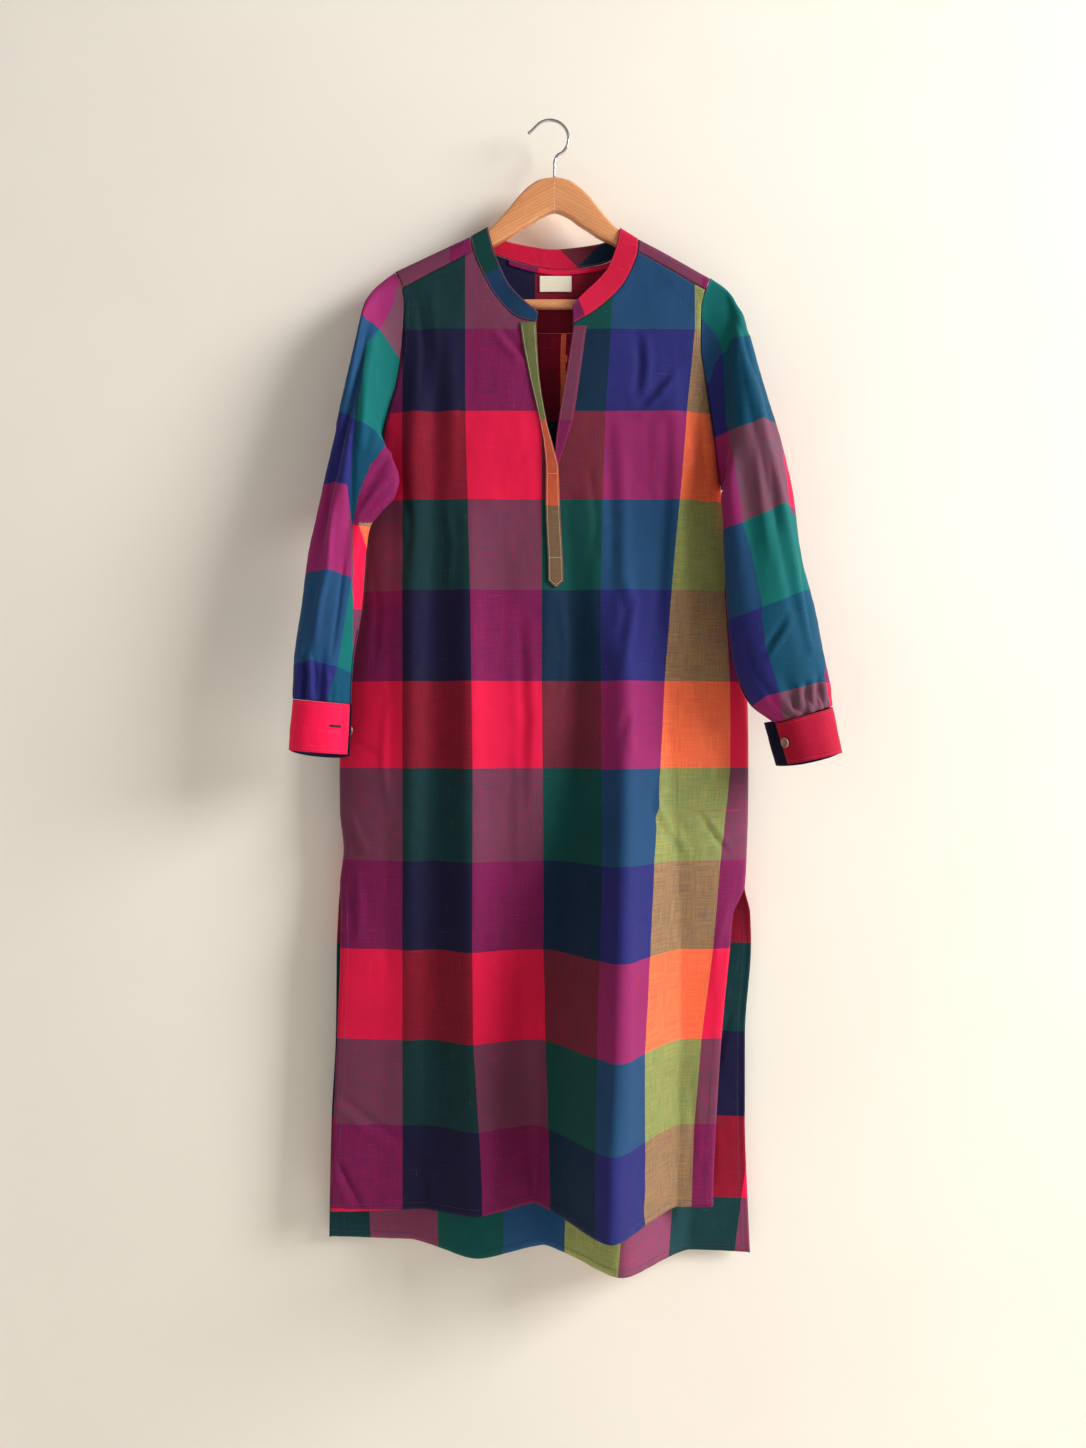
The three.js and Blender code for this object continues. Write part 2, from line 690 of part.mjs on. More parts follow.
function label() {
  const rows = [0, 1, 2].map((k) => Array.from({ length: LABEL.steps + 1 }, (_, i) => {
    const x = lerp(LABEL.left, LABEL.right, i / LABEL.steps);
    return insideYoke(x, lerp(LABEL.top, LABEL.bottom, k / 2), INSIDE_LAYER);
  }));
  return shellOf(grid(rows), LABEL.thickness);
}

// The pocket bag behind the front on the viewer's right, from the front's own points moved in
const POCKET = { left: 153.5, top: 703, bottom: 864, corner: 14, sideSeam: 18, steps: 7, thickness: 1 };
const CORNER_CUT = 0.6;

function pocketBag() {
  const rows = [];
  for (let r = 0; r <= POCKET.steps; r++) {
    const drop = lerp(POCKET.top, POCKET.bottom, r / POCKET.steps);
    const right = sideEdges(drop).frontRight - POCKET.sideSeam;
    const rounding = smooth((drop - POCKET.bottom + POCKET.corner) / POCKET.corner);
    const left = POCKET.left + POCKET.corner * rounding * CORNER_CUT;
    const line = [];
    for (let c = 0; c <= POCKET.steps; c++) {
      line.push(frontLayer(lerp(left, right, c / POCKET.steps), drop, -LAYER));
    }
    rows.push(line);
  }
  return shellOf(grid(rows), POCKET.thickness);
}

// Sleeves: each ring runs from an outer point, over the front, to an inner point and back behind
const SLEEVE_COLUMNS = ['ring', 'outX', 'outDrop', 'outY', 'inX', 'inDrop', 'inY', 'front', 'back'];
const SLEEVES = {
  left: table(SLEEVE_COLUMNS, [
    [0, -192.5, 190, 0, -221.2, 461.8, 0, 11, 11],
    [1, -211.7, 206.3, -6, -222, 465, -9, 18, 13],
    [2, -228.1, 231.4, -14, -222, 471, -20, 26, 15],
    [3, -238.1, 277.1, -22, -221, 480, -30, 32, 16],
    [4, -251.9, 342.8, -28, -220, 489, -37, 36, 17],
    [5, -268.1, 423.9, -34, -220, 499, -40, 38, 19],
    [6, -283, 499.5, -40, -223, 518, -40, 38, 21],
    [7, -293.6, 550.9, -42, -226, 556, -40, 37, 23],
    [8, -301.3, 617, -46, -230, 612, -44, 36, 24],
    [9, -309.1, 680.3, -50, -240.3, 682, -48, 33, 24],
    [10, -310.3, 722.7, -50, -242.5, 728.8, -50, 30, 25],
  ]),
  right: table(SLEEVE_COLUMNS, [
    [0, 199.5, 196.8, 0, 214.5, 461, 0, 11, 11],
    [1, 220.4, 213.8, -6, 217, 461, -12, 18, 13],
    [2, 235.3, 242.5, -14, 215, 463, -26, 26, 15],
    [3, 248.9, 289.5, -22, 211.5, 470, -34, 32, 16],
    [4, 265.1, 347.7, -28, 209.6, 484, -39, 36, 17],
    [5, 282.4, 409.2, -34, 210.3, 508, -42, 38, 19],
    [6, 295.1, 472.3, -38, 211.3, 539, -44, 40, 21],
    [7, 302.9, 541.2, -42, 213.4, 588, -46, 42, 22],
    [8, 317.8, 606.1, -46, 216.8, 637, -48, 42, 24],
    [9, 330.3, 671.9, -50, 225, 688, -50, 38, 24],
    [10, 338.6, 711.8, -50, 242, 728, -50, 34, 25],
    [11, 340, 731.2, -50, 271, 750.6, -50, 30, 25],
  ]),
};
const LAST_RING = { left: 10, right: 11 };

// The slack under each arm, which hangs forward over the front panel
const SLACK = {
  left: table(['ring', 'inward', 'forward'], [
    [0, 0, 0],
    [0.5, 0, 3],
    [1, 11, 9],
    [2, 32, 12],
    [3, 41, 10],
    [4, 38, 6],
    [5, 24, 3],
    [6, 8, 0],
    [7, 0, 0],
  ]),
  right: table(['ring', 'inward', 'forward'], [
    [0, 0, 0],
    [1, 0, 2],
    [3, 3, 4],
    [5, 2, 2],
    [7, 0, 0],
  ]),
};
const SLACK_TURN = 0.385;
const SLACK_WIDTH = 0.1;

// Long folds pressed into a sleeve, by where they lie round it: depth is inwards
const pressed = (rows) => table(['ring', 'depth'], rows);
const SLEEVE_FOLDS = {
  left: [
    { turn: 0.15, width: 0.05, depth: pressed([[0, 0], [1, 5], [3, 12], [5, 13], [6.5, 8], [8, 0]]) },
    { turn: 0.3, width: 0.06, depth: pressed([[2, 0], [4, 4], [6, 7], [8, 3], [9, 0]]) },
    { turn: 0.17, width: 0.022, depth: pressed([[8.3, 0], [9.3, 3.2], [10, 3.6]]) },
    { turn: 0.26, width: 0.022, depth: pressed([[8.3, 0], [9.3, 3.2], [10, 3.6]]) },
  ],
  right: [
    { turn: 0.1, width: 0.05, depth: pressed([[0, 0], [1.5, 5], [3, 6], [5, 3], [7, 0]]) },
    { turn: 0.3, width: 0.06, depth: pressed([[1, 0], [3, 4], [5, 9], [7, 6], [9, 0]]) },
    { turn: 0.14, width: 0.02, depth: pressed([[9, 0], [10, 3.4], [11, 3.2]]) },
    { turn: 0.2, width: 0.02, depth: pressed([[9.4, 0], [10.2, 3.4], [11, 3.2]]) },
    { turn: 0.26, width: 0.02, depth: pressed([[9, 0], [10, 3.8], [11, 3.4]]) },
    { turn: 0.33, width: 0.02, depth: pressed([[9.4, 0], [10.2, 3.2], [11, 3]]) },
  ],
};

const FULLNESS = 0.85;
const power = (v) => Math.sign(v) * Math.abs(v) ** FULLNESS;
const turnsApart = (a, b) => Math.abs(((a - b + 1.5) % 1) - 0.5);

// The armhole seam, round from the shoulder's top over the front, under the arm and up the back. Near its top
// it runs a little further out than the yoke's end below it.
const SLEEVE_SEAM = 1.1;
const SHOULDER_TOP = { left: 190, right: 196.5 };
const CAP_EASE = { left: 0, right: 5, over: 40 };
const ROUND_ENDS = 10;

function armholePoint(side, turn) {
  const ridge = SHOULDER_TOP[side];
  const drop = lerp(ridge, UNDERARM_DROP, (1 - Math.cos(2 * Math.PI * turn)) / 2);
  const eased = drop - CAP_EASE[side] * (1 - smooth((drop - ridge) / CAP_EASE.over));
  const { frontLeft, frontRight } = sideEdges(eased);
  const x = side === 'left' ? frontLeft - SLEEVE_SEAM : frontRight + SLEEVE_SEAM;
  const round = yokeDepth(drop - ridge);
  const d = depths(drop);
  const settled = smooth((drop - ridge - ROUND_ENDS) / (2 * ROUND_ENDS));
  const y = turn <= 0.5 ? -lerp(round, d.frontEdge, settled) : lerp(round, d.backEdge, settled);
  return new THREE.Vector3(x, y, -drop);
}
function sleevePoint(side, ring, turn) {
  const inward = side === 'left' ? 1 : -1;
  const s = SLEEVES[side](ring);
  const c = power(Math.cos(2 * Math.PI * turn));
  const q = power(Math.sin(2 * Math.PI * turn));
  const [a, b] = [(1 + c) / 2, (1 - c) / 2];
  const middle = new THREE.Vector3((s.outX + s.inX) / 2, (s.outY + s.inY) / 2, -(s.outDrop + s.inDrop) / 2);
  const point = new THREE.Vector3(
    s.outX * a + s.inX * b,
    s.outY * a + s.inY * b - q * (q > 0 ? s.front : s.back),
    -(s.outDrop * a + s.inDrop * b),
  );
  let press = 0;
  for (const fold of SLEEVE_FOLDS[side]) {
    press += fold.depth(ring).depth * Math.exp(-((turnsApart(turn, fold.turn) / fold.width) ** 2));
  }
  point.addScaledVector(middle.sub(point).setZ(0).normalize(), press);
  const slack = SLACK[side](ring);
  const share = Math.exp(-((turnsApart(turn, SLACK_TURN) / SLACK_WIDTH) ** 2));
  point.x += inward * slack.inward * share;
  point.y -= slack.forward * share;
  if (ring >= 1) return point;
  return armholePoint(side, turn).lerp(point, smooth(ring));
}

const UNDER_TURNS = [0.365, 0.4, 0.44, 0.48, 0.505, 0.54, 0.58, 0.63, 0.68, 0.73, 0.78, 0.83, 0.88, 0.92, 0.96];
const SLEEVE_TURNS = {
  left: [0, 0.04, 0.08, 0.115, 0.15, 0.17, 0.19, 0.225, 0.26, 0.295, 0.33, ...UNDER_TURNS],
  right: [0, 0.04, 0.08, 0.11, 0.14, 0.17, 0.2, 0.23, 0.26, 0.295, 0.33, ...UNDER_TURNS],
};
const SLEEVE_RINGS = [0, 0.5, 1, 1.5, 2, 3, 4, 5, 6, 7, 8];
const SLIT_COLUMN = 14;
const SLIT_RINGS = 1.6;

// A sleeve is one tube, open at both ends and left open along its slit above the cuff
function sleeve(side) {
  const last = LAST_RING[side];
  const rings = [...SLEEVE_RINGS, last - SLIT_RINGS, last - 1, last - 0.5, last];
  const turns = SLEEVE_TURNS[side];
  const sheet = grid(rings.map((ring) => turns.map((turn) => sleevePoint(side, ring, turn))), true);
  const slitFrom = SLEEVE_RINGS.length;
  sheet.faces = sheet.faces.filter((face, i) => {
    const inSlit = i % turns.length === SLIT_COLUMN && Math.floor(i / turns.length) >= slitFrom;
    return !inSlit;
  });
  return shellOf(sheet);
}

// Cuffs: open bands that start at the sleeve's end
const CUFFS = {
  left: { outX: -315, outDrop: 784, inX: -245, inDrop: 789.5, y: -52, from: 0.485, spread: 2 },
  right: { outX: 351, outDrop: 787, inX: 285.5, inDrop: 801, y: -53, from: 0.47, spread: 12 },
};
const CUFF_LINES = [0.35, 0.68, 1];
const CUFF_TOP = { left: 0.009, right: 0.024 };
const CUFF_STEPS = 24;
const CUFF_END = -0.455;
const CUFF_CLOTH = 1.6;
const CUFF_BACK_TILT = 7;
const CUFF_DEPTH = { front: 31, back: 27 };
const SLEEVE_END_Y = -50;

function cuffPoint(side, turn, down) {
  const cuff = CUFFS[side];
  const top = SLEEVES[side](LAST_RING[side]);
  const c = power(Math.cos(2 * Math.PI * turn));
  const q = power(Math.sin(2 * Math.PI * turn));
  const outX = lerp(top.outX, cuff.outX, down);
  const inX = lerp(top.inX, cuff.inX, down);
  const outDrop = lerp(top.outDrop, cuff.outDrop, down);
  const inDrop = lerp(top.inDrop, cuff.inDrop, down);
  const half = q > 0 ? 'front' : 'back';
  const depth = lerp(top[half], CUFF_DEPTH[half], down);
  const backTilt = q < 0 ? CUFF_BACK_TILT * down * -q : 0;
  const opened = cuff.spread * smooth((-turn - 0.25) / 0.22) * (side === 'left' ? 1 : -1);
  return new THREE.Vector3(
    (outX * (1 + c) + inX * (1 - c)) / 2 + opened,
    lerp(SLEEVE_END_Y, cuff.y, down) - q * depth,
    -((outDrop * (1 + c) + inDrop * (1 - c)) / 2 + backTilt),
  );
}

function cuff(side) {
  const { from } = CUFFS[side];
  const line = (down) => Array.from({ length: CUFF_STEPS + 1 }, (_, i) => (
    cuffPoint(side, lerp(from, CUFF_END, i / CUFF_STEPS), down)));
  return shellOf(grid([CUFF_TOP[side], ...CUFF_LINES].map(line)), CUFF_CLOTH);
}

// Buttons: four-hole discs sewn on each cuff's end, by where they lie round the cuff and down it
const BUTTON_PLACES = { left: { turn: -0.4, down: 0.5 }, right: { turn: 0.415, down: 0.5 } };
const BUTTON_HOLES = [[-1, -1], [1, -1], [1, 1], [-1, 1]];
const BUTTON_BEVEL = 0.5;
const BUTTON_STAND = 0.55;

function button(side) {
  const disc = new THREE.Shape().absarc(0, 0, BUTTON_RADIUS, 0, 2 * Math.PI, false);
  for (const hole of BUTTON_HOLES) {
    const [x, y] = hole.map((way) => way * BUTTON_HOLE_SPACING);
    disc.holes.push(new THREE.Path().absarc(x, y, BUTTON_HOLE_RADIUS, 0, 2 * Math.PI, true));
  }
  const geometry = new THREE.ExtrudeGeometry(disc, {
    depth: BUTTON_THICKNESS - 2 * BUTTON_BEVEL,
    bevelThickness: BUTTON_BEVEL,
    bevelSize: BUTTON_BEVEL,
    bevelOffset: -BUTTON_BEVEL,
    bevelSegments: 1,
    curveSegments: 4,
  });
  geometry.translate(0, 0, BUTTON_BEVEL);
  const { turn, down } = BUTTON_PLACES[side];
  const scaled = 100;
  const out = normalOf((u, v) => cuffPoint(side, u / scaled, v / scaled), turn * scaled, down * scaled, 1);
  if (out.y > 0 !== turn < 0) out.negate();
  geometry.applyQuaternion(new THREE.Quaternion().setFromUnitVectors(new THREE.Vector3(0, 0, 1), out));
  const seat = cuffPoint(side, turn, down).addScaledVector(out, CUFF_CLOTH / 2 + BUTTON_STAND);
  geometry.translate(seat.x, seat.y, seat.z);
  return welded(geometry);
}

function welded(geometry) {
  geometry.deleteAttribute('normal');
  geometry.deleteAttribute('uv');
  return mergeVertices(geometry, 1e-3);
}

// Where each arm's sections stand; the two close together are the ear that holds the bar
const ARM_PLACES = {
  left: [-4, -15, -26, -38, -50, -62, -75, -90, -110, -135, -164.8, -165.2, -177],
  right: [15, 26, 37, 49, 61, 73, 86, 100, 120, 145, 173.6, 174, 185],
};
const ARM_BEVEL = { in: 3.5, up: 4 };

// One arm of the hanger: rounded over the top, bevelled under, lofted from the middle to its tip
function hangerArm(start, places, end) {
  const r = ARM_HALF_THICKNESS;
  return capped([start, ...places, end].map((x) => {
    const { top, bottom } = hangerOutline(x);
    const at = (y, drop) => new THREE.Vector3(x, y, -drop);
    const ring = [];
    for (let degrees = -90; degrees <= 90; degrees += 30) {
      const angle = THREE.MathUtils.degToRad(degrees);
      ring.push(at(r * Math.sin(angle), top + r - r * Math.cos(angle)));
    }
    ring.push(at(r, bottom - ARM_BEVEL.up));
    ring.push(at(r - ARM_BEVEL.in, bottom));
    ring.push(at(ARM_BEVEL.in - r, bottom));
    ring.push(at(-r, bottom - ARM_BEVEL.up));
    return ring;
  }));
}

// Rings joined into a closed body with a flat face at each end
function capped(rings) {
  const width = rings[0].length;
  const sheet = grid(rings, true);
  const triangles = sheet.faces.flatMap(([a, b, c, d]) => [[a, b, c], [a, c, d]]);
  const last = (rings.length - 1) * width;
  for (let k = 1; k < width - 1; k++) {
    triangles.push([0, k, k + 1]);
    triangles.push([last, last + k + 1, last + k]);
  }
  return solidFrom(sheet.points, triangles);
}

function hangerBar() {
  const length = BAR_RIGHT - BAR_LEFT;
  const bar = new THREE.CylinderGeometry(BAR_RADIUS, BAR_RADIUS, length, 16);
  bar.rotateZ(Math.PI / 2);
  bar.translate((BAR_LEFT + BAR_RIGHT) / 2, 0, -BAR_DROP);
  return welded(bar);
}

// The hook: a straight stem, the round bend that is carried, and a short end turned out
const STEM_POINTS = [[HOOK_STEM_X, HOOK_FOOT_DROP], [HOOK_STEM_X, 57], [HOOK_STEM_X + 0.4, 49]];
const BEND = { from: -66, to: 138, step: 17 };
const TIP_POINTS = [[-22, 10.5], [-27.5, 15.5]];

function hook() {
  const radius = HOOK_INNER_RADIUS + WIRE_RADIUS;
  const at = ([x, drop]) => new THREE.Vector3(x, 0, -drop);
  const points = STEM_POINTS.map(at);
  for (let degrees = BEND.from; degrees <= BEND.to; degrees += BEND.step) {
    const angle = THREE.MathUtils.degToRad(degrees);
    points.push(at([radius * Math.cos(angle), HOOK_INNER_RADIUS - radius * Math.sin(angle)]));
  }
  points.push(...TIP_POINTS.map(at));
  const extrudePath = new THREE.CatmullRomCurve3(points, false, 'centripetal');
  const wire = new THREE.Shape().absarc(0, 0, WIRE_RADIUS, 0, 2 * Math.PI, false);
  const options = { steps: 30, extrudePath, bevelEnabled: false, curveSegments: 5 };
  return welded(new THREE.ExtrudeGeometry(wire, options));
}

const cloth = (color) => new THREE.MeshStandardMaterial({ color, roughness: 0.85, metalness: 0 });
const horn = new THREE.MeshStandardMaterial({ color: 0x8a7a68, roughness: 0.4, metalness: 0 });
const wood = new THREE.MeshStandardMaterial({ color: 0xc8875a, roughness: 0.45, metalness: 0 });
const chrome = new THREE.MeshStandardMaterial({ color: 0xd0d0d0, roughness: 0.2, metalness: 1 });

const model = new THREE.Group();

function add(name, geometry, material) {
  const mesh = new THREE.Mesh(geometry, material);
  mesh.name = name;
  model.add(mesh);
}

add('front', front(), cloth(0x8a2f5a));
add('back', back(), cloth(0x1f5a66));
add('yoke', yoke(), cloth(0x6a4a60));
add('collar_band', collar(), cloth(0xb02850));
add('neck_tape', neckTape(), cloth(0xa02040));
add('label', label(), cloth(0xe8dfcc));
add('placket_over', placketOver(), cloth(0xb08040));
add('placket_under', placketUnder(), cloth(0x7a5565));
add('pocket_bag', pocketBag(), cloth(0xa08040));
for (const side of ['left', 'right']) {
  add(`sleeve_${side}`, sleeve(side), cloth(0x105a70));
  add(`cuff_${side}`, cuff(side), cloth(0xe01a40));
  add(`button_${side}`, button(side), horn);
}
add('hanger_arm_left', hangerArm(HANGER_X - SEAM_GAP / 2, ARM_PLACES.left, ARM_REACH_LEFT), wood);
add('hanger_arm_right', hangerArm(HANGER_X + SEAM_GAP / 2, ARM_PLACES.right, ARM_REACH_RIGHT), wood);
add('hanger_bar', hangerBar(), wood);
add('hanger_hook', hook(), chrome);

export default model;
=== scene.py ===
import math

import bmesh
import bpy
import numpy as np
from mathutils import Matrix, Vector, noise


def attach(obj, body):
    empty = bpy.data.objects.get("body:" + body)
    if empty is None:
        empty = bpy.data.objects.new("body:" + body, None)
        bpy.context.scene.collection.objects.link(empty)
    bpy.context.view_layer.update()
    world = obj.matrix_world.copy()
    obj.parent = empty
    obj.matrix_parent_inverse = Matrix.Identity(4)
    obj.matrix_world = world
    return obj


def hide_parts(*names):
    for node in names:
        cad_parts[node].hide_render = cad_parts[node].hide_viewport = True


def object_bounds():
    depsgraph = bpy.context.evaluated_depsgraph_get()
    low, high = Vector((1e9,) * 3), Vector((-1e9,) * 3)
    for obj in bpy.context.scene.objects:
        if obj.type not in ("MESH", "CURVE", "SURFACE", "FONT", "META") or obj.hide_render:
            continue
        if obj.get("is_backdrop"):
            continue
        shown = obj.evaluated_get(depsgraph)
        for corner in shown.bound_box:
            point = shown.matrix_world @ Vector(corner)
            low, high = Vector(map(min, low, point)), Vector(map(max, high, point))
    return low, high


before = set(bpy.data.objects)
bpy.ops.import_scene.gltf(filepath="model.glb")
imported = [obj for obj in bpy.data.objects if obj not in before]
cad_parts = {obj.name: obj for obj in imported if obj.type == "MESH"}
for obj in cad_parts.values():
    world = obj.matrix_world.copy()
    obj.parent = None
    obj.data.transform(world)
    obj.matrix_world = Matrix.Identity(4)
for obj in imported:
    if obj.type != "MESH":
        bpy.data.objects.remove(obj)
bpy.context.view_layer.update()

# Millimetres while shapes are worked out; a mesh is written in metres. "Drop" is depth below the hook.
MM = 0.001

EYE_X, EYE_DROP, EYE_AWAY = -8.75, 753.0, 1600.0
PHOTO_H, PIXEL = 1448, 1.25
PHOTO_MIDDLE = 543, 724

# Cloth and seams
CLOTH = 0.9
LAYER = 1.75
SEAM_GAP = 0.3

# Yoke over the hanger
YOKE_ROUND = 8.1
YOKE_SEAM_DROP = 259
FRONT_AT_SEAM = 9.2
YOKE_SETTLES = 215
YOKE_BACK_EASE = 2.6
YOKE_LIFT = 1.15

NECK_SLIT_END = 577
SIDES = "left", "right"
INWARD = {"left": 1, "right": -1}
UNDERARM_DROP = 461
HANGER_X = 5.6


# Reading tables
def numbers(text):
    """Rows of numbers, parted by commas."""
    return [[float(n) for n in row.split()] for row in text.split(",")]


def table(columns, rows):
    """A smooth reading of rows by their first column, which gives the other columns by name."""
    data = np.array(numbers(rows))
    names = columns.split()[1:]
    at = data[:, 0]
    steps = np.diff(data[:, 1:], axis=0) / np.diff(at)[:, None]
    slopes = np.zeros((len(at), data.shape[1] - 1))
    slopes[0], slopes[-1] = steps[0], steps[-1]
    a, b = steps[:-1], steps[1:]
    total = np.where(a + b == 0, 1, a + b)
    slopes[1:-1] = np.where(a * b <= 0, 0, 2 * a * b / total)

    def read(value):
        value = np.asarray(value, float)
        i = np.clip(np.searchsorted(at, value, side="right") - 1, 0, len(at) - 2)
        span = at[i + 1] - at[i]
        t = np.clip((value - at[i]) / span, 0, 1)
        found = {}
        for c, name in enumerate(names):
            lo, hi = data[i, c + 1], data[i + 1, c + 1]
            sa, sb = slopes[i, c] * span, slopes[i + 1, c] * span
            found[name] = lo + t * (sa + t * (3 * (hi - lo) - 2 * sa - sb + t * (sa + sb - 2 * (hi - lo))))
        return found

    return read


def lerp(a, b, t):
    return a + (b - a) * t


def smooth(t):
    t = np.clip(t, 0, 1)
    return t * t * (3 - 2 * t)


def point(x, y, z):
    x, y, z = np.broadcast_arrays(np.asarray(x, float), np.asarray(y, float), np.asarray(z, float))
    return np.stack([x, y, z], -1)


def unit(v):
    return v / np.maximum(np.linalg.norm(v, axis=-1, keepdims=True), 1e-9)


def reach_along(points, axis=0):
    """How far each point is from the first, along an axis of points."""
    steps = np.linalg.norm(np.diff(points, axis=axis), axis=-1)
    return np.insert(np.cumsum(steps, axis=axis), 0, 0, axis=axis)


def facing(n, way):
    """Normals turned to the side that `way` points to."""
    return np.where(np.sum(n * way, -1, keepdims=True) < 0, -n, n)


# The garment's sizes
side_edges = table("drop frontLeft frontRight backLeft backRight", """
    189 -193.5 200 -193.5 200, 198 -188.5 197.5 -188.5 197.5, 209 -184 193.5 -184 193.5, 236 -181 187.5 -181 187.5,
    283 -183.5 186.5 -183.5 186.5, 325 -189 192 -189 192, 366 -201 198.5 -201 198.5, 411 -211 205.5 -211 205.5,
    461 -220 213 -220 213, 523 -228 225 -228 225, 593 -233 236 -233 236, 678 -247 245 -247 245,
    800 -262.5 247.5 -262.5 247.5, 860 -262 247 -262 247, 909 -257.5 245.5 -257.5 245.5, 955 -262 243 -262 243,
    990 -260.5 228 -265.5 251, 1030 -260 223 -268.5 253.5, 1145 -264 212 -270 246, 1250 -268.5 205.5 -275.5 246,
    1350 -271.5 201.5 -278 249.5, 1425 -271.5 201.5 -279 253""")
depths = table("drop frontEdge frontBulge backEdge backBulge", """
    150 9.2 0 8.6 0, 209 9.2 0 9 1, 259 11.5 5 10 3, 330 13 12 11 8, 400 10 20 8 13, 461 0.85 29 0.85 21,
    600 0.85 32 0.85 23, 800 0.85 32 0.85 22, 955 0.85 26 0.85 20, 1030 13 12 14 8, 1145 14 8 15 7, 1425 16 6 18 5""")
FOLD = "drop x height halfWidth"
FRONT_FOLDS = [
    table(FOLD, """
        500 90 0 46, 600 90 9 50, 723 89 22 56, 848 86 42 64, 923 82 72 74, 1035 78 100 82, 1148 74 116 86,
        1350 68 122 88"""),
    table(FOLD, "420 -100 0 44, 560 -102 6 46, 811 -100 12 52, 1035 -96 20 60, 1254 -91 30 66, 1350 -89 36 70"),
    table(FOLD, "260 -166 0 26, 360 -168 6 26, 700 -170 8 28, 1000 -172 7 30, 1250 -174 2 34, 1350 -174 0 34"),
    table(FOLD, "430 20 0 30, 590 24 -7 30, 720 26 -9 34, 900 10 -6 38, 1100 0 0 40"),
    table(FOLD, "300 150 0 34, 380 152 6 34, 520 160 7 34, 700 176 4 34, 820 184 0 34"),
]
BACK_FOLDS = [
    table(FOLD, "760 84 0 60, 923 85 20 72, 1035 85 42 82, 1148 85 62 88, 1254 85 78 90, 1421 85 92 92"),
    table(FOLD, "860 -92 0 66, 1035 -92 16 70, 1254 -91 38 78, 1421 -91 53 84"),
    table(FOLD, "300 -120 0 40, 420 -126 -5 40, 700 -150 -6 46, 900 -165 0 46"),
]
PLEAT_X, PLEAT_FLANK = 8, 6
pleat = table("drop height halfWidth", "255 5.5 21, 320 7.5 22, 420 7 25, 560 4 32, 760 0 46")
hanger_outline = table("x top bottom", """
    -200 193.5 243, -188 187.84 243, -165.2 177.1 242, -164.8 176.91 216, -130 160.5 186, -100.6 146.7 172,
    -76 134 159.5, -63.8 121.9 153, -51 108 145.5, -38.8 93 137.5, -26 80.6 130, -11 72.2 120, 5.6 70 114,
    22.2 73 120, 36 81.6 130, 48 92.5 137.5, 60 107.5 145.5, 72 122 151, 86 135.5 158, 111 149.6 172, 140 165 190,
    173.6 183.9 220, 174 184.13 246, 196 196.5 247, 212 205 247""")
neckline = table("along seamX seamDrop topX topDrop lean", """
    0 -17 255 -14.5 242.5 1.5, 1 -37 251 -29.5 231 2.5, 2 -64.5 226.5 -51.5 206 2.5, 3 -83.5 194 -62.5 182.5 1.8,
    4 -96 165 -72.5 155.5 1, 5 -99.5 144.6 -78 131.6 0, 6 -94 151.5 -72 138.5 0, 7 -62 164.5 -55.5 145 -0.5,
    8 -17.5 177.5 -24 152 -0.5, 9 12.5 181 6 155.6 -0.5, 10 63 175 65 148 -0.5, 11 98 157 79 140.5 0,
    12 109.8 147.6 87.5 132.6 0, 13 108.5 166 83 155.5 1, 14 93.5 202 72 185.5 1.8, 15 55.5 240 41 220 2.5,
    16 28 257.5 28 234 1.5""")
NECK_STOPS = {"left": [4, 3.5, 3, 2.5, 2, 1.5, 1, 0.5, 0], "right": [13, 13.3, 13.65, 14, 14.4, 14.8, 15.2, 15.6, 16]}
slit_edges = table("drop left right overLeft overRight underRight", """
    255 -19 30 -37 -17.5 46, 262 -18.5 29 -36.5 -17.2 45, 321 -15.5 20 -26 -13.7 37, 379 -6.5 10.5 -13 -5 28,
    412 0 6.6 -7.5 3.5 18, 439 4.4 5.6 -5.5 10.2 10, 486 4.9 6.1 -5.8 11.6 10, 560 5.4 6.6 -3.4 15 11,
    577 6 6 -3.2 15.3 11, 700 2 2 0 0 0, 1425 -14 -14 0 0 0""")
SHOULDER_SEAM_DROP = {"left": 211, "right": 213.6}
FRONT_HEM = {"left": 1356, "middle": 1343, "right": 1350}
BACK_HEM = {"left": 1401, "middle": 1413, "right": 1421}
SLIT_TOP = 955

SLEEVE_COLUMNS = "ring outX outDrop outY inX inDrop inY front back"
SLEEVES = {
    "left": table(SLEEVE_COLUMNS, """
        0 -192.5 190 0 -221.2 461.8 0 11 11, 1 -211.7 206.3 -6 -222 465 -9 18 13,
        2 -228.1 231.4 -14 -222 471 -20 26 15, 3 -238.1 277.1 -22 -221 480 -30 32 16,
        4 -251.9 342.8 -28 -220 489 -37 36 17, 5 -268.1 423.9 -34 -220 499 -40 38 19,
        6 -283 499.5 -40 -223 518 -40 38 21, 7 -293.6 550.9 -42 -226 556 -40 37 23,
        8 -301.3 617 -46 -230 612 -44 36 24, 9 -309.1 680.3 -50 -240.3 682 -48 33 24,
        10 -310.3 722.7 -50 -242.5 728.8 -50 30 25"""),
    "right": table(SLEEVE_COLUMNS, """
        0 199.5 196.8 0 214.5 461 0 11 11, 1 220.4 213.8 -6 217 461 -12 18 13, 2 235.3 242.5 -14 215 463 -26 26 15,
        3 248.9 289.5 -22 211.5 470 -34 32 16, 4 265.1 347.7 -28 209.6 484 -39 36 17,
        5 282.4 409.2 -34 210.3 508 -42 38 19, 6 295.1 472.3 -38 211.3 539 -44 40 21,
        7 302.9 541.2 -42 213.4 588 -46 42 22, 8 317.8 606.1 -46 216.8 637 -48 42 24,
        9 330.3 671.9 -50 225 688 -50 38 24, 10 338.6 711.8 -50 242 728 -50 34 25,
        11 340 731.2 -50 271 750.6 -50 30 25"""),
}
LAST_RING = {"left": 10, "right": 11}
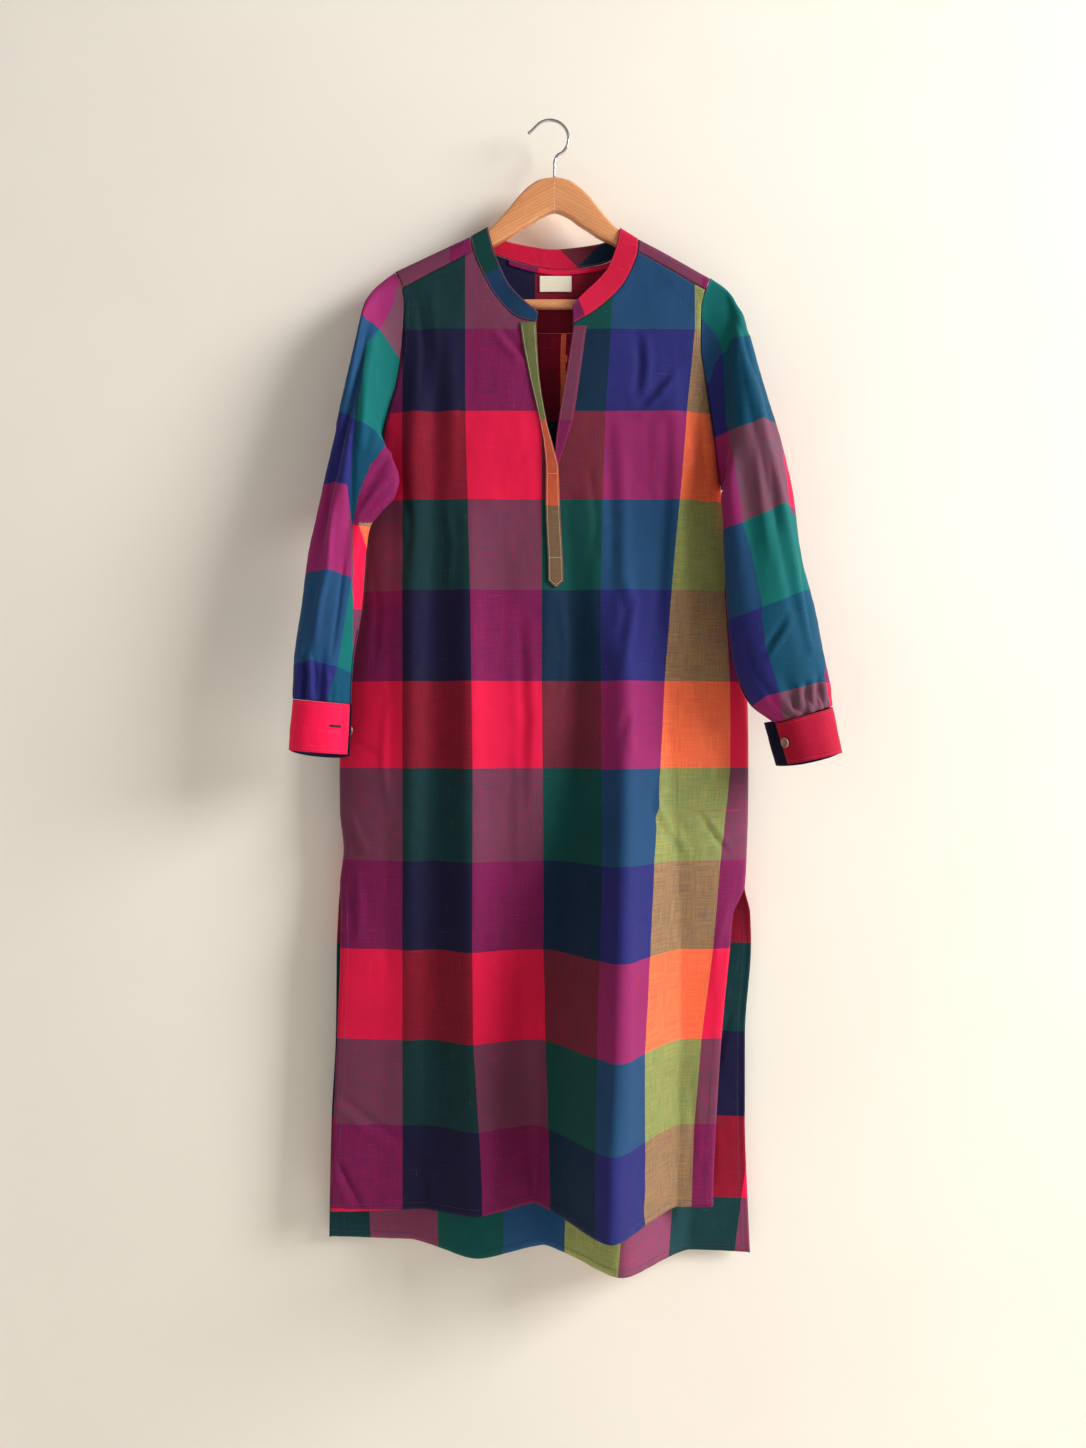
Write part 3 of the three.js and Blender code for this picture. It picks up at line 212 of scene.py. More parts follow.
SLACK = {
    "left": table("ring inward forward", """
        0 0 0, 0.5 0 3, 1 11 9, 2 32 12, 3 41 10, 4 38 6, 5 24 3, 6 8 0, 7 0 0"""),
    "right": table("ring inward forward", "0 0 0, 1 0 2, 3 3 4, 5 2 2, 7 0 0"),
}
SLACK_TURN, SLACK_WIDTH = 0.385, 0.1


def pressed(rows):
    return table("ring depth", rows)


SLEEVE_FOLDS = {
    "left": [
        (0.15, 0.05, pressed("0 0, 1 5, 3 12, 5 13, 6.5 8, 8 0")),
        (0.3, 0.06, pressed("2 0, 4 4, 6 7, 8 3, 9 0")),
        (0.17, 0.022, pressed("8.3 0, 9.3 3.2, 10 3.6")),
        (0.26, 0.022, pressed("8.3 0, 9.3 3.2, 10 3.6")),
    ],
    "right": [
        (0.1, 0.05, pressed("0 0, 1.5 5, 3 6, 5 3, 7 0")),
        (0.3, 0.06, pressed("1 0, 3 4, 5 9, 7 6, 9 0")),
        (0.14, 0.02, pressed("9 0, 10 3.4, 11 3.2")),
        (0.2, 0.02, pressed("9.4 0, 10.2 3.4, 11 3.2")),
        (0.26, 0.02, pressed("9 0, 10 3.8, 11 3.4")),
        (0.33, 0.02, pressed("9.4 0, 10.2 3.2, 11 3")),
    ],
}
SLEEVE_SEAM = 1.1
SHOULDER_TOP = {"left": 190, "right": 196.5}
CAP_EASE = {"left": 0, "right": 5, "over": 40}
ROUND_ENDS = 10
FULLNESS = 0.85
CUFFS = {
    "left": dict(outX=-315, outDrop=784, inX=-245, inDrop=789.5, y=-52, start=0.485, spread=2),
    "right": dict(outX=351, outDrop=787, inX=285.5, inDrop=801, y=-53, start=0.47, spread=12),
}
CUFF_DEPTH = {"front": 31, "back": 27}
CUFF_END = -0.455
CUFF_TILT = 7
SLEEVE_END_Y = -50
BUTTON_PLACES = {"left": (-0.4, 0.5), "right": (0.415, 0.5)}

CREST_ROUND, CREST_POWER, FOLD_FADE = 0.2, 1.25, 0.1


# The garment's surfaces
def edge_x(layer, side, drop):
    return side_edges(drop)[layer + side.capitalize()]


def crest(distance):
    span = math.sqrt(1 + CREST_ROUND ** 2) - CREST_ROUND
    rise = 1 - (np.sqrt(distance ** 2 + CREST_ROUND ** 2) - CREST_ROUND) / span
    return np.where(distance >= 1, 0, np.clip(rise, 0, 1) ** CREST_POWER)


def section(across):
    return (1 - np.abs(2 * np.clip(across, 0, 1) - 1) ** 4) ** 0.6


def folds_at(folds, x, drop, across):
    total = 0
    for fold in folds:
        f = fold(drop)
        total = total + f["height"] * crest(np.abs(x - f["x"]) / f["halfWidth"])
    return total * smooth(across / FOLD_FADE) * smooth((1 - across) / FOLD_FADE)


def front_point(x, drop):
    e = side_edges(drop)
    across = (x - e["frontLeft"]) / (e["frontRight"] - e["frontLeft"])
    d = depths(drop)
    y = -d["frontEdge"] - d["frontBulge"] * section(across) - folds_at(FRONT_FOLDS, x, drop, across)
    return point(x, y, -np.asarray(drop, float))


def back_point(x, drop):
    e = side_edges(drop)
    across = (x - e["backLeft"]) / (e["backRight"] - e["backLeft"])
    d = depths(drop)
    p = pleat(drop)
    pleated = p["height"] * smooth((p["halfWidth"] + PLEAT_FLANK - np.abs(x - PLEAT_X)) / PLEAT_FLANK)
    y = d["backEdge"] + d["backBulge"] * section(across) - folds_at(BACK_FOLDS, x, drop, across) + pleated
    return point(x, y, -np.asarray(drop, float))


def normal_of(surface, u, v, step=1.5):
    along = surface(u + step, v) - surface(u - step, v)
    down = surface(u, v + step) - surface(u, v - step)
    return unit(np.cross(down, along))


def towards_eye(n):
    return np.where(n[..., 1:2] > 0, -n, n)


def front_layer(x, drop, distance):
    n = towards_eye(normal_of(front_point, x, drop))
    return front_point(x, drop) + n * np.asarray(distance, float)[..., None]


def yoke_ridge(x):
    return hanger_outline(x)["top"] - YOKE_LIFT


def yoke_depth(below):
    h = np.minimum(below, YOKE_ROUND)
    round_ = np.sqrt(np.maximum(YOKE_ROUND ** 2 - (YOKE_ROUND - h) ** 2, 0))
    return round_ + (FRONT_AT_SEAM - YOKE_ROUND) * smooth((below - 4) / 14)


def yoke_point(x, over):
    x, over = np.broadcast_arrays(np.asarray(x, float), np.asarray(over, float))
    drop = yoke_ridge(x) + np.abs(over)
    settled = smooth((drop - YOKE_SETTLES) / (YOKE_SEAM_DROP - YOKE_SETTLES))
    behind = lerp(yoke_depth(np.maximum(over, 0)) + YOKE_BACK_EASE * smooth((over - 8) / 30),
                  back_point(x, drop)[..., 1], settled)
    y = np.where(over <= 0, -yoke_depth(np.maximum(-over, 0)), behind)
    return point(x, y, -drop)


def neck_depth(along, x, drop):
    over = np.maximum(drop - yoke_ridge(x), 0)
    behind = (along > 5) & (along < 12)
    y = np.where(behind, yoke_point(x, over)[..., 1], -yoke_depth(over))
    return np.where((along < 4) | (along > 13), front_point(x, drop)[..., 1], y)


WRAP_LIFT, WRAP_ROUND = 1.4, 7
ARM_WRAPS = [(4, 6, 1.16, 0.96), (11, 13, 0.8, 1.27)]


def collar_point(along, up):
    along, up = np.broadcast_arrays(np.asarray(along, float), np.asarray(up, float))
    n = neckline(along)
    seam_y = neck_depth(along, n["seamX"], n["seamDrop"])
    top_y = seam_y - n["lean"]
    top_drop = n["topDrop"]
    for start, end, at_start, at_end in ARM_WRAPS:
        inside = (along >= start) & (along <= end)
        share = np.clip((along - start) / (end - start), 0, 1)
        over = np.maximum(n["seamDrop"] - yoke_ridge(n["seamX"]), 0) * lerp(at_start, at_end, share)
        lifted = yoke_ridge(n["topX"]) + over - WRAP_LIFT * (1 - np.clip(over / WRAP_ROUND, 0, 1))
        top_drop = np.where(inside, lifted, top_drop)
        top_y = np.where(inside, np.where(seam_y < 0, -1, 1) * yoke_depth(over) - n["lean"], top_y)
    return point(lerp(n["seamX"], n["topX"], up), lerp(seam_y, top_y, up), -lerp(n["seamDrop"], top_drop, up))


def power(v):
    return np.sign(v) * np.abs(v) ** FULLNESS


def turns_apart(a, b):
    return np.abs(((a - b + 1.5) % 1) - 0.5)


def sleeve_middle(s):
    return point((s["outX"] + s["inX"]) / 2, (s["outY"] + s["inY"]) / 2, -(s["outDrop"] + s["inDrop"]) / 2)


def armhole_point(side, turn):
    ridge = SHOULDER_TOP[side]
    drop = lerp(ridge, UNDERARM_DROP, (1 - np.cos(2 * np.pi * turn)) / 2)
    eased = drop - CAP_EASE[side] * (1 - smooth((drop - ridge) / CAP_EASE["over"]))
    x = edge_x("front", side, eased) - INWARD[side] * SLEEVE_SEAM
    round_ = yoke_depth(drop - ridge)
    d = depths(drop)
    settled = smooth((drop - ridge - ROUND_ENDS) / (2 * ROUND_ENDS))
    y = np.where(turn % 1 <= 0.5, -lerp(round_, d["frontEdge"], settled), lerp(round_, d["backEdge"], settled))
    return point(x, y, -drop)


def sleeve_point(side, ring, turn):
    ring, turn = np.broadcast_arrays(np.asarray(ring, float), np.asarray(turn, float))
    s = SLEEVES[side](ring)
    c = power(np.cos(2 * np.pi * turn))
    q = power(np.sin(2 * np.pi * turn))
    a, b = (1 + c) / 2, (1 - c) / 2
    p = point(s["outX"] * a + s["inX"] * b,
              s["outY"] * a + s["inY"] * b - q * np.where(q > 0, s["front"], s["back"]),
              -(s["outDrop"] * a + s["inDrop"] * b))
    press = 0
    for at, width, depth in SLEEVE_FOLDS[side]:
        press = press + depth(ring)["depth"] * np.exp(-((turns_apart(turn, at) / width) ** 2))
    way = sleeve_middle(s) - p
    way[..., 2] = 0
    p = p + unit(way) * press[..., None]
    slack = SLACK[side](ring)
    share = np.exp(-((turns_apart(turn, SLACK_TURN) / SLACK_WIDTH) ** 2))
    p[..., 0] += INWARD[side] * slack["inward"] * share
    p[..., 1] -= slack["forward"] * share
    blend = smooth(ring)[..., None]
    return armhole_point(side, turn) * (1 - blend) + p * blend


def cuff_point(side, turn, down):
    turn, down = np.broadcast_arrays(np.asarray(turn, float), np.asarray(down, float))
    cuff = CUFFS[side]
    top = SLEEVES[side](LAST_RING[side])
    c = power(np.cos(2 * np.pi * turn))
    q = power(np.sin(2 * np.pi * turn))
    out_x, in_x = lerp(top["outX"], cuff["outX"], down), lerp(top["inX"], cuff["inX"], down)
    out_drop = lerp(top["outDrop"], cuff["outDrop"], down)
    in_drop = lerp(top["inDrop"], cuff["inDrop"], down)
    depth = np.where(q > 0, lerp(top["front"], CUFF_DEPTH["front"], down), lerp(top["back"], CUFF_DEPTH["back"], down))
    tilt = np.where(q < 0, CUFF_TILT * down * -q, 0)
    opened = INWARD[side] * cuff["spread"] * smooth((-turn - 0.25) / 0.22)
    return point((out_x * (1 + c) + in_x * (1 - c)) / 2 + opened,
                 lerp(SLEEVE_END_Y, cuff["y"], down) - q * depth,
                 -((out_drop * (1 + c) + in_drop * (1 - c)) / 2 + tilt))


def pixel(p):
    """Where a point in millimetres falls in the photograph."""
    k = EYE_AWAY / (EYE_AWAY + p[..., 1])
    return (PHOTO_MIDDLE[0] + (p[..., 0] - EYE_X) * k / PIXEL,
            PHOTO_MIDDLE[1] + (-p[..., 2] - EYE_DROP) * k / PIXEL)


# Small unevenness
def rumple(p, size, seed):
    """Soft noise from -1 to 1 over points in millimetres."""
    flat = p.reshape(-1, 3) / size
    shift = Vector((seed * 7.3, seed * 3.1, seed * 5.7))
    values = [noise.noise(Vector(row) + shift) for row in flat.tolist()]
    return np.array(values).reshape(p.shape[:-1])


def hung_cloth(base, size, fine, seed):
    """The unevenness of a large hanging panel: long soft waves, and smaller ones `fine` mm high."""
    return 0.85 * rumple(base * [1, 0.3, 0.45], size, seed) + fine * rumple(base * [1, 0.5, 0.6], 12, seed + 1)


def to_line(px, py, line):
    """Distance in pixels to a line of points, and how far along it from 0 to 1."""
    best = np.full(px.shape, 1e9)
    share = np.zeros(px.shape)
    total = reach_along(line)[-1]
    done = 0
    for (x0, y0), (x1, y1) in zip(line, line[1:]):
        length = math.dist((x0, y0), (x1, y1))
        t = np.clip(((px - x0) * (x1 - x0) + (py - y0) * (y1 - y0)) / length ** 2, 0, 1)
        d = np.hypot(px - x0 - t * (x1 - x0), py - y0 - t * (y1 - y0))
        nearer = d < best
        best = np.where(nearer, d, best)
        share = np.where(nearer, (done + t * length) / total, share)
        done += length
    return best, share


CREASE_DEPTH = 1.85


def creases(px, py, rows):
    """Each row: height in mm (a trough where negative), half width in pixels, then the line's points."""
    total = np.zeros(px.shape)
    for height, width, *places in rows:
        line = np.reshape(places, (-1, 2))
        low, high = line.min(axis=0) - 3 * width, line.max(axis=0) + 3 * width
        near = (px > low[0]) & (px < high[0]) & (py > low[1]) & (py < high[1])
        if near.any():
            d, share = to_line(px[near], py[near], line)
            ends = np.sin(np.pi * np.clip(share * 0.86 + 0.07, 0, 1)) ** 0.7
            total[near] += CREASE_DEPTH * height * np.exp(-((d / width) ** 2)) * ends
    return total


FRONT_CREASES = numbers("""
    2.7 12 470 520 470 700 471 900 472 1060 476 1150, -2.4 15 440 520 438 700 438 900 438 1080 442 1150,
    2.2 8 628 660 628 860 626 1000 626 1140, -2.2 11 604 660 604 860 602 1000 602 1130,
    1.3 8 450 330 454 420 452 500, -1.4 9 432 330 434 420 434 500, 1.2 7 620 430 624 520 626 620,
    -1.2 7 608 430 612 520 612 620, -1.3 6 668 420 664 520 656 640 652 700, 1.2 7 680 420 676 520 668 640,
    -1 5 520 620 524 720 520 800, 1 5 530 620 534 720 530 800, -2.2 2.6 336 1158 347 1180 361 1207,
    1.5 3.5 330 1164 341 1186 352 1209, -1.5 4 332 1090 366 1117 403 1144 428 1158,
    1.3 4.5 331 1099 362 1127 398 1153, -1.2 3 366 1188 382 1196, 1.4 3.5 349 810 356 830 366 850,
    -1.3 3 343 806 351 832 357 856, -0.9 3 354 742 384 760, 1.2 4 356 874 360 905 359 938,
    -1.1 4 350 868 352 905 350 940, 1.6 3.5 629 588 635 602 630 634 624 668, -1.4 4 620 590 625 610 619 640,
    1.4 3 634 716 629 734 631 752, -1 3 626 712 622 736, 1.7 3.2 664 780 658 808 672 832 684 850,
    -1.6 3 658 776 652 806 664 836, 1.1 3 676 824 688 852, -1.5 2.2 700 814 714 835 728 854,
    0.9 3 704 811 718 832 731 848, 1.4 5 646 338 648 362 645 392, -1.4 5 638 336 640 366 636 396,
    1.5 3.5 676 376 660 396 642 414, -1.2 3.5 670 372 654 390 640 404, 1.3 4 496 334 508 348 521 362,
    -1.2 4 500 328 512 342 524 354, -1 4 418 300 424 350 420 400, 1 5 432 296 436 352 432 404,
    -1.2 4 402 480 410 520 406 566, 1.1 4.5 446 500 452 548 448 590, -1 3.5 372 560 378 610 374 660,
    1.2 4 388 700 384 760 390 816, -1 4 500 880 506 950 502 1020, 0.9 5 520 760 516 840 522 906,
    -1.3 4 604 980 600 1060 606 1130, 1 4 676 930 672 990 680 1060, -1 3.5 690 1080 694 1130 688 1180,
    1 3.5 728 900 718 940 714 990, -1.4 3 741 884 734 905 727 930, 1 3.5 560 600 566 650 560 700,
    -0.9 4 590 470 596 520 592 560, -1.1 4 700 420 706 470 702 520, 1.1 4 688 430 692 486 690 540,
    -1.3 3 712 560 700 600 694 640, 1 3 426 1150 432 1180 430 1204, -1 3 474 1140 472 1170 475 1196,
    -1 3 640 1190 646 1214 650 1232, 1 3 524 1165 528 1185 526 1200""")
BACK_CREASES = numbers("""
    1.6 6 -150 300 -156 420 -150 560, -1.4 6 -96 340 -92 470 -98 590, 1.5 6 96 330 100 460 94 600,
    -1.4 6 150 360 156 500 150 640, 1.6 5 -226 520 -190 560 -150 620, -1.5 5 222 520 186 566 140 610,
    -1.6 5 -240 720 -200 770 -160 860, 1.6 5 240 740 206 800 190 880, 1.4 6 -50 700 -56 860 -48 1000,
    -1.3 6 40 760 46 900 40 1040, 1.6 5 -250 1180 -206 1250 -190 1330, -1.8 4.5 -240 1220 -214 1290 -206 1370,
    1.5 5 226 1120 200 1220 206 1330, -1.4 5 180 1180 170 1280 176 1380, 1.2 5 10 1200 4 1290 10 1390,
    -1.2 5 -140 1040 -146 1120 -138 1200, 1.3 4 -30 262 -60 300 -100 330, 1.3 4 50 262 80 300 120 334""")
SLEEVE_CREASES = {
    "left": numbers("""
        1.7 3 334 484 330 530 328 569 321 600 316 640, -1.3 4 327 496 322 545 318 580 311 616,
        -2.6 4 368 318 357 396 352 450 350 526, 1.8 4 376 326 366 390 361 446, -1.4 3.5 336 430 330 500 322 566,
        1.3 4 328 500 320 580 314 640, -1.4 2.5 344 560 338 610 332 654, 1.2 3 386 380 380 420 370 452,
        -1.4 3 398 440 384 462 366 490, 1.3 3 390 474 374 494 358 516, -2.4 2.2 304 656 306 674 304 698,
        2 2.2 309 654 311 674 310 698, -1.8 2 314 660 316 678 315 698, 1.2 2.5 326 668 328 682 327 698"""),
    "right": numbers("""
        1.8 3.5 748 338 755 380 763 420 774 465 783 505 793 555 800 592 812 650,
        -1.5 5 738 345 745 385 753 425 764 470 774 512 784 560 792 600 804 650,
        -1.8 5 733 306 724 350 720 410 724 470, 1.5 5 742 312 736 356 734 410, -1.3 4 768 430 774 480 778 530,
        1.3 4 756 440 762 500 770 556, -1.6 3 786 618 776 632 766 648, 1.4 3 790 626 780 640 770 656,
        -1.5 3 742 640 752 668 768 690, -1.8 2 792 694 794 704 795 713, 1.6 2 799 686 800 700 801 712,
        -2 2 806 684 806 698 807 711, 1.6 2 812 682 812 696 813 710, -2 2 818 680 818 694 819 708,
        1.4 2 824 682 824 692 825 706, -1.2 3 800 560 806 600 812 640"""),
}


# Meshes
def placed(name, data):
    obj = bpy.data.objects.new(name, data)
    bpy.context.scene.collection.objects.link(obj)
    return obj


def mesh_object(name, points, faces, uv=None, material=None):
    mesh = bpy.data.meshes.new(name)
    mesh.from_pydata((np.asarray(points) * MM).tolist(), [], [list(map(int, f)) for f in faces])
    if uv is not None:
        mesh.uv_layers.new(name="cloth").data.foreach_set("uv", np.asarray(uv, np.float32).ravel())
    mesh.polygons.foreach_set("use_smooth", [True] * len(mesh.polygons))
    mesh.update()
    mesh.materials.append(material)
    return placed(name, mesh)


def grid_faces(rows, cols, closed=False, skip=None):
    r, c = np.meshgrid(np.arange(rows - 1), np.arange(cols if closed else cols - 1), indexing="ij")
    r, c = r.ravel(), c.ravel()
    if skip is not None:
        keep = ~skip(r, c)
        r, c = r[keep], c[keep]
    after = (c + 1) % cols if closed else c + 1
    quads = np.stack([r * cols + c, (r + 1) * cols + c, (r + 1) * cols + after, r * cols + after], -1)
    return quads, r, c


def thicken(obj, thickness):
    wall = obj.modifiers.new("wall", "SOLIDIFY")
    wall.thickness = thickness * MM
    wall.offset = 0


def sheet_object(name, points, uv_at, material, closed=False, skip=None, thickness=CLOTH):
    """A sheet from rows of points. uv_at takes each corner's row and column and each face's own."""
    rows, cols = points.shape[:2]
    quads, r, c = grid_faces(rows, cols, closed, skip)
    after = (c + 1) % cols
    u, v = uv_at(np.stack([r, r + 1, r + 1, r], -1), np.stack([c, c, after, after], -1), r[:, None], c[:, None])
    obj = mesh_object(name, points.reshape(-1, 3), quads, np.stack(np.broadcast_arrays(u, v), -1), material)
    if thickness:
        thicken(obj, thickness)
    return obj


def per_point(u, v):
    """A uv_at for values given at each grid point."""
    return lambda r, c, face_r, face_c: (u[r, c], v[r, c])


def grid_normals(points, closed=False):
    if closed:
        wide = np.concatenate([points[:, -1:], points, points[:, :1]], 1)
        along = wide[:, 2:] - wide[:, :-2]
    else:
        along = np.gradient(points, axis=1)
    return unit(np.cross(np.gradient(points, axis=0), along))


def joined(name, objects):
    """Welds surfaces that share an edge into one sheet."""
    first = objects[0]
    bm = bmesh.new()
    for o in objects:
        bm.from_mesh(o.data)
    bmesh.ops.remove_doubles(bm, verts=bm.verts, dist=2e-5)
    bm.to_mesh(first.data)
    bm.free()
    for o in objects[1:]:
        bpy.data.objects.remove(o)
    first.name = name
    thicken(first, CLOTH)
    return first


# Stitching
STITCH_PITCH, STITCH_LENGTH, STITCH_RADIUS = 2.6, 1.9, 0.24


def stitches(name, runs, material, pitch=STITCH_PITCH, length=STITCH_LENGTH, radius=STITCH_RADIUS):
    """Runs are (points, outward normals) pairs in millimetres; each stitch is a short thread sunk at both ends."""
    verts, faces = [], []
    around = np.linspace(0, 2 * np.pi, 5)[:-1]
    shape = [(-0.5, -0.35, 0.5), (-0.3, 0.1, 1), (0.3, 0.1, 1), (0.5, -0.35, 0.5)]
    for points, normals in runs:
        reach = reach_along(points)
        count = max(int(reach[-1] / pitch), 1)
        wanted = (np.arange(count) + 0.5) * (reach[-1] / count)

        def read(rows, at):
            return np.stack([np.interp(at, reach, rows[:, k]) for k in range(3)], -1)

        n = unit(read(np.broadcast_to(normals, points.shape), wanted))
        along = unit(read(points, wanted + 0.6) - read(points, wanted - 0.6))
        side = unit(np.cross(along, n))
        for c, a, up, s in zip(read(points, wanted), along, n, side):
            base = len(verts)
            for t, rise, thick in shape:
                for angle in around:
                    verts.append(c + a * t * length + up * (rise * radius + radius * thick * math.sin(angle))
                                 + s * radius * thick * math.cos(angle))
            for r in range(3):
                for k in range(4):
                    faces.append((base + r * 4 + k, base + r * 4 + (k + 1) % 4,
                                  base + (r + 1) * 4 + (k + 1) % 4, base + (r + 1) * 4 + k))
            faces += [range(base + 3, base - 1, -1), range(base + 12, base + 16)]
    return mesh_object(name, np.array(verts), faces, material=material)


# Materials
WARP = [(216, 24, 78), (34, 18, 30), (216, 24, 78), (0, 54, 52), (60, 52, 130), (255, 186, 82)]
# The sleeves' green warp is painted twice as bright as the body's: painted light where the light falls on the sleeves
SLEEVE_WARP_PAINTED_LIGHT = WARP[:3] + [(0, 108, 110)] + WARP[4:]
WEFT = [(0, 82, 78), (16, 28, 78), (208, 20, 54)]
# Painted light and shade: each piece's cloth colour is brightened or darkened by how the light falls on it
LIT = {"sleeve_left": 1.18, "cuff_left": 1.4, "sleeve_right": 1.1, "cuff_right": 0.62, "collar_band": 0.76,
       "back": 1.5, "placket_over": 0.52, "placket_under": 0.9}
STRIPE, ROW = 95, 108


def rgb(*c):
    return tuple((v / 255) ** 2.2 for v in c) + (1,)


class Nodes:
    """Short ways to add nodes to a material."""

    def __init__(self, name):
        self.material = bpy.data.materials.new(name)
        self.material.use_nodes = True
        self.tree = self.material.node_tree
        self.shader = self.tree.nodes["Principled BSDF"]

    def add(self, kind, **settings):
        node = self.tree.nodes.new(kind)
        for key, value in settings.items():
            setattr(node, key, value)
        return node

    def link(self, a, b):
        self.tree.links.new(a, b)

    def put(self, socket, value):
        if isinstance(value, bpy.types.NodeSocket):
            self.link(value, socket)
        else:
            socket.default_value = value

    def math(self, op, a, b=0.0, c=0.0, clamp=False):
        node = self.add("ShaderNodeMath", operation=op, use_clamp=clamp)
        for socket, value in zip(node.inputs, (a, b, c)):
            self.put(socket, value)
        return node.outputs[0]

    def times(self, a, b):
        return self.math("MULTIPLY", a, b)

    def plus(self, a, b, clamp=False):
        return self.math("ADD", a, b, clamp=clamp)

    def vector(self, x, y, z=0.0):
        node = self.add("ShaderNodeCombineXYZ")
        for socket, value in zip(node.inputs, (x, y, z)):
            self.put(socket, value)
        return node.outputs[0]

    def noise(self, where, scale, detail=2.0, rough=0.5):
        node = self.add("ShaderNodeTexNoise")
        self.put(node.inputs["Vector"], where)
        node.inputs["Scale"].default_value = scale
        node.inputs["Detail"].default_value = detail
        node.inputs["Roughness"].default_value = rough
        return node.outputs["Fac"]

    def span(self, value, low, high, to_low, to_high):
        node = self.add("ShaderNodeMapRange")
        self.put(node.inputs["Value"], value)
        for name, v in (("From Min", low), ("From Max", high), ("To Min", to_low), ("To Max", to_high)):
            node.inputs[name].default_value = v
        return node.outputs["Result"]

    def stripes(self, value, colours):
        node = self.add("ShaderNodeValToRGB")
        ramp = node.color_ramp
        ramp.interpolation = "CONSTANT"
        for i, colour in enumerate(colours):
            stop = ramp.elements[0] if i == 0 else ramp.elements.new(i / len(colours))
            stop.position = i / len(colours)
            stop.color = tuple(v / 255 for v in colour) + (1,)
        if len(ramp.elements) > len(colours):
            ramp.elements.remove(ramp.elements[-1])
        self.link(value, node.inputs["Fac"])
        return node.outputs["Color"]

    def mix(self, factor, a, b, blend="MIX"):
        node = self.add("ShaderNodeMix", data_type="RGBA", blend_type=blend)
        self.put(node.inputs["Factor"], factor)
        self.put(node.inputs[6], a)
        self.put(node.inputs[7], b)
        return node.outputs[2]

    def bump(self, height, strength, distance=0.0004):
        node = self.add("ShaderNodeBump")
        node.inputs["Strength"].default_value = strength
        node.inputs["Distance"].default_value = distance
        self.link(height, node.inputs["Height"])
        self.link(node.outputs["Normal"], self.shader.inputs["Normal"])

    def gamma(self, colour):
        node = self.add("ShaderNodeGamma")
        self.link(colour, node.inputs["Color"])
        node.inputs["Gamma"].default_value = 2.2
        return node.outputs["Color"]

    def here(self):
        return self.add("ShaderNodeTexCoord").outputs["Object"]

    def parted(self, vector):
        split = self.add("ShaderNodeSeparateXYZ")
        self.link(vector, split.inputs[0])
        return split.outputs

    def finished(self, colour, rough, bump, **plain):
        """Links colour, roughness and bump (height, strength, distance), and sets the plain numbers."""
        self.link(colour, self.shader.inputs["Base Color"])
        self.link(rough, self.shader.inputs["Roughness"])
        for name, value in plain.items():
            self.shader.inputs[name.replace("_", " ")].default_value = value
        self.bump(*bump)
        return self.material


def woven(name, lit=1.0, warp_colours=WARP):
    """Plain-weave handloom cotton: warp stripes by u, weft stripes by v, uneven yarns, slubs and faint wear,
    brightened or darkened by `lit` as painted light and shade.
    """
    m = Nodes(name)
    u, v, _ = m.parted(m.add("ShaderNodeUVMap", uv_map="cloth").outputs[0])
    across, down = m.times(u, float(STRIPE)), m.times(v, float(ROW))
    # Each warp yarn keeps its own shade for a long way down, each weft yarn across
    warp_yarn = m.noise(m.vector(m.times(across, 0.9), m.times(down, 0.03)), 1.0, 3.0, 0.6)
    weft_yarn = m.noise(m.vector(m.times(across, 0.03), m.times(down, 0.9)), 1.0, 3.0, 0.6)
    fleck = m.noise(m.vector(m.times(across, 0.55), m.times(down, 0.55)), 1.0, 2.0, 0.7)
    share = m.plus(m.span(m.math("SUBTRACT", warp_yarn, weft_yarn), -0.35, 0.35, 0.36, 0.64),
                   m.span(fleck, 0.3, 0.7, -0.05, 0.05))
    warp = m.stripes(m.math("FRACT", m.math("DIVIDE", m.plus(u, 60.0), 6.0)), warp_colours)
    weft = m.stripes(m.math("FRACT", m.math("DIVIDE", m.plus(v, 60.0), 3.0)), WEFT)
    cloth = m.gamma(m.mix(share, warp, weft))
    slub = m.plus(m.math("GREATER_THAN", warp_yarn, 0.71), m.math("GREATER_THAN", weft_yarn, 0.72), clamp=True)
    cloth = m.mix(m.times(slub, 0.1), cloth, rgb(214, 196, 190))
    faded = m.noise(m.vector(across, down), 0.013, 3.0, 0.55)
    # The value carries faint random wear and, through `lit`, each piece's painted light and shade
    shade = m.add("ShaderNodeHueSaturation")
    m.link(m.span(faded, 0.3, 0.7, 0.93 * lit, 1.05 * lit), shade.inputs["Value"])
    m.link(cloth, shade.inputs["Color"])
    # The weave itself: over one yarn, under the next, every 0.6 mm
    weave = m.times(m.math("SINE", m.times(across, 5.2)), m.math("SINE", m.times(down, 5.2)))
    height = m.plus(m.times(weave, 0.35), m.plus(warp_yarn, weft_yarn))
    return m.finished(shade.outputs["Color"], m.span(fleck, 0.3, 0.7, 0.68, 0.84), (height, 0.3, 0.0005),
                      Sheen_Weight=0.05, Sheen_Roughness=0.4, Specular_IOR_Level=0.18)


def plain_thread(name, colour):
    m = Nodes(name)
    twist = m.noise(m.here(), 900.0, 2.0, 0.6)
    shades = m.mix(m.span(twist, 0.3, 0.7, 0.0, 0.6), rgb(*colour), rgb(*[min(255, c + 34) for c in colour]))
    return m.finished(shades, m.span(twist, 0.3, 0.7, 0.55, 0.75), (twist, 0.3, 0.0001))


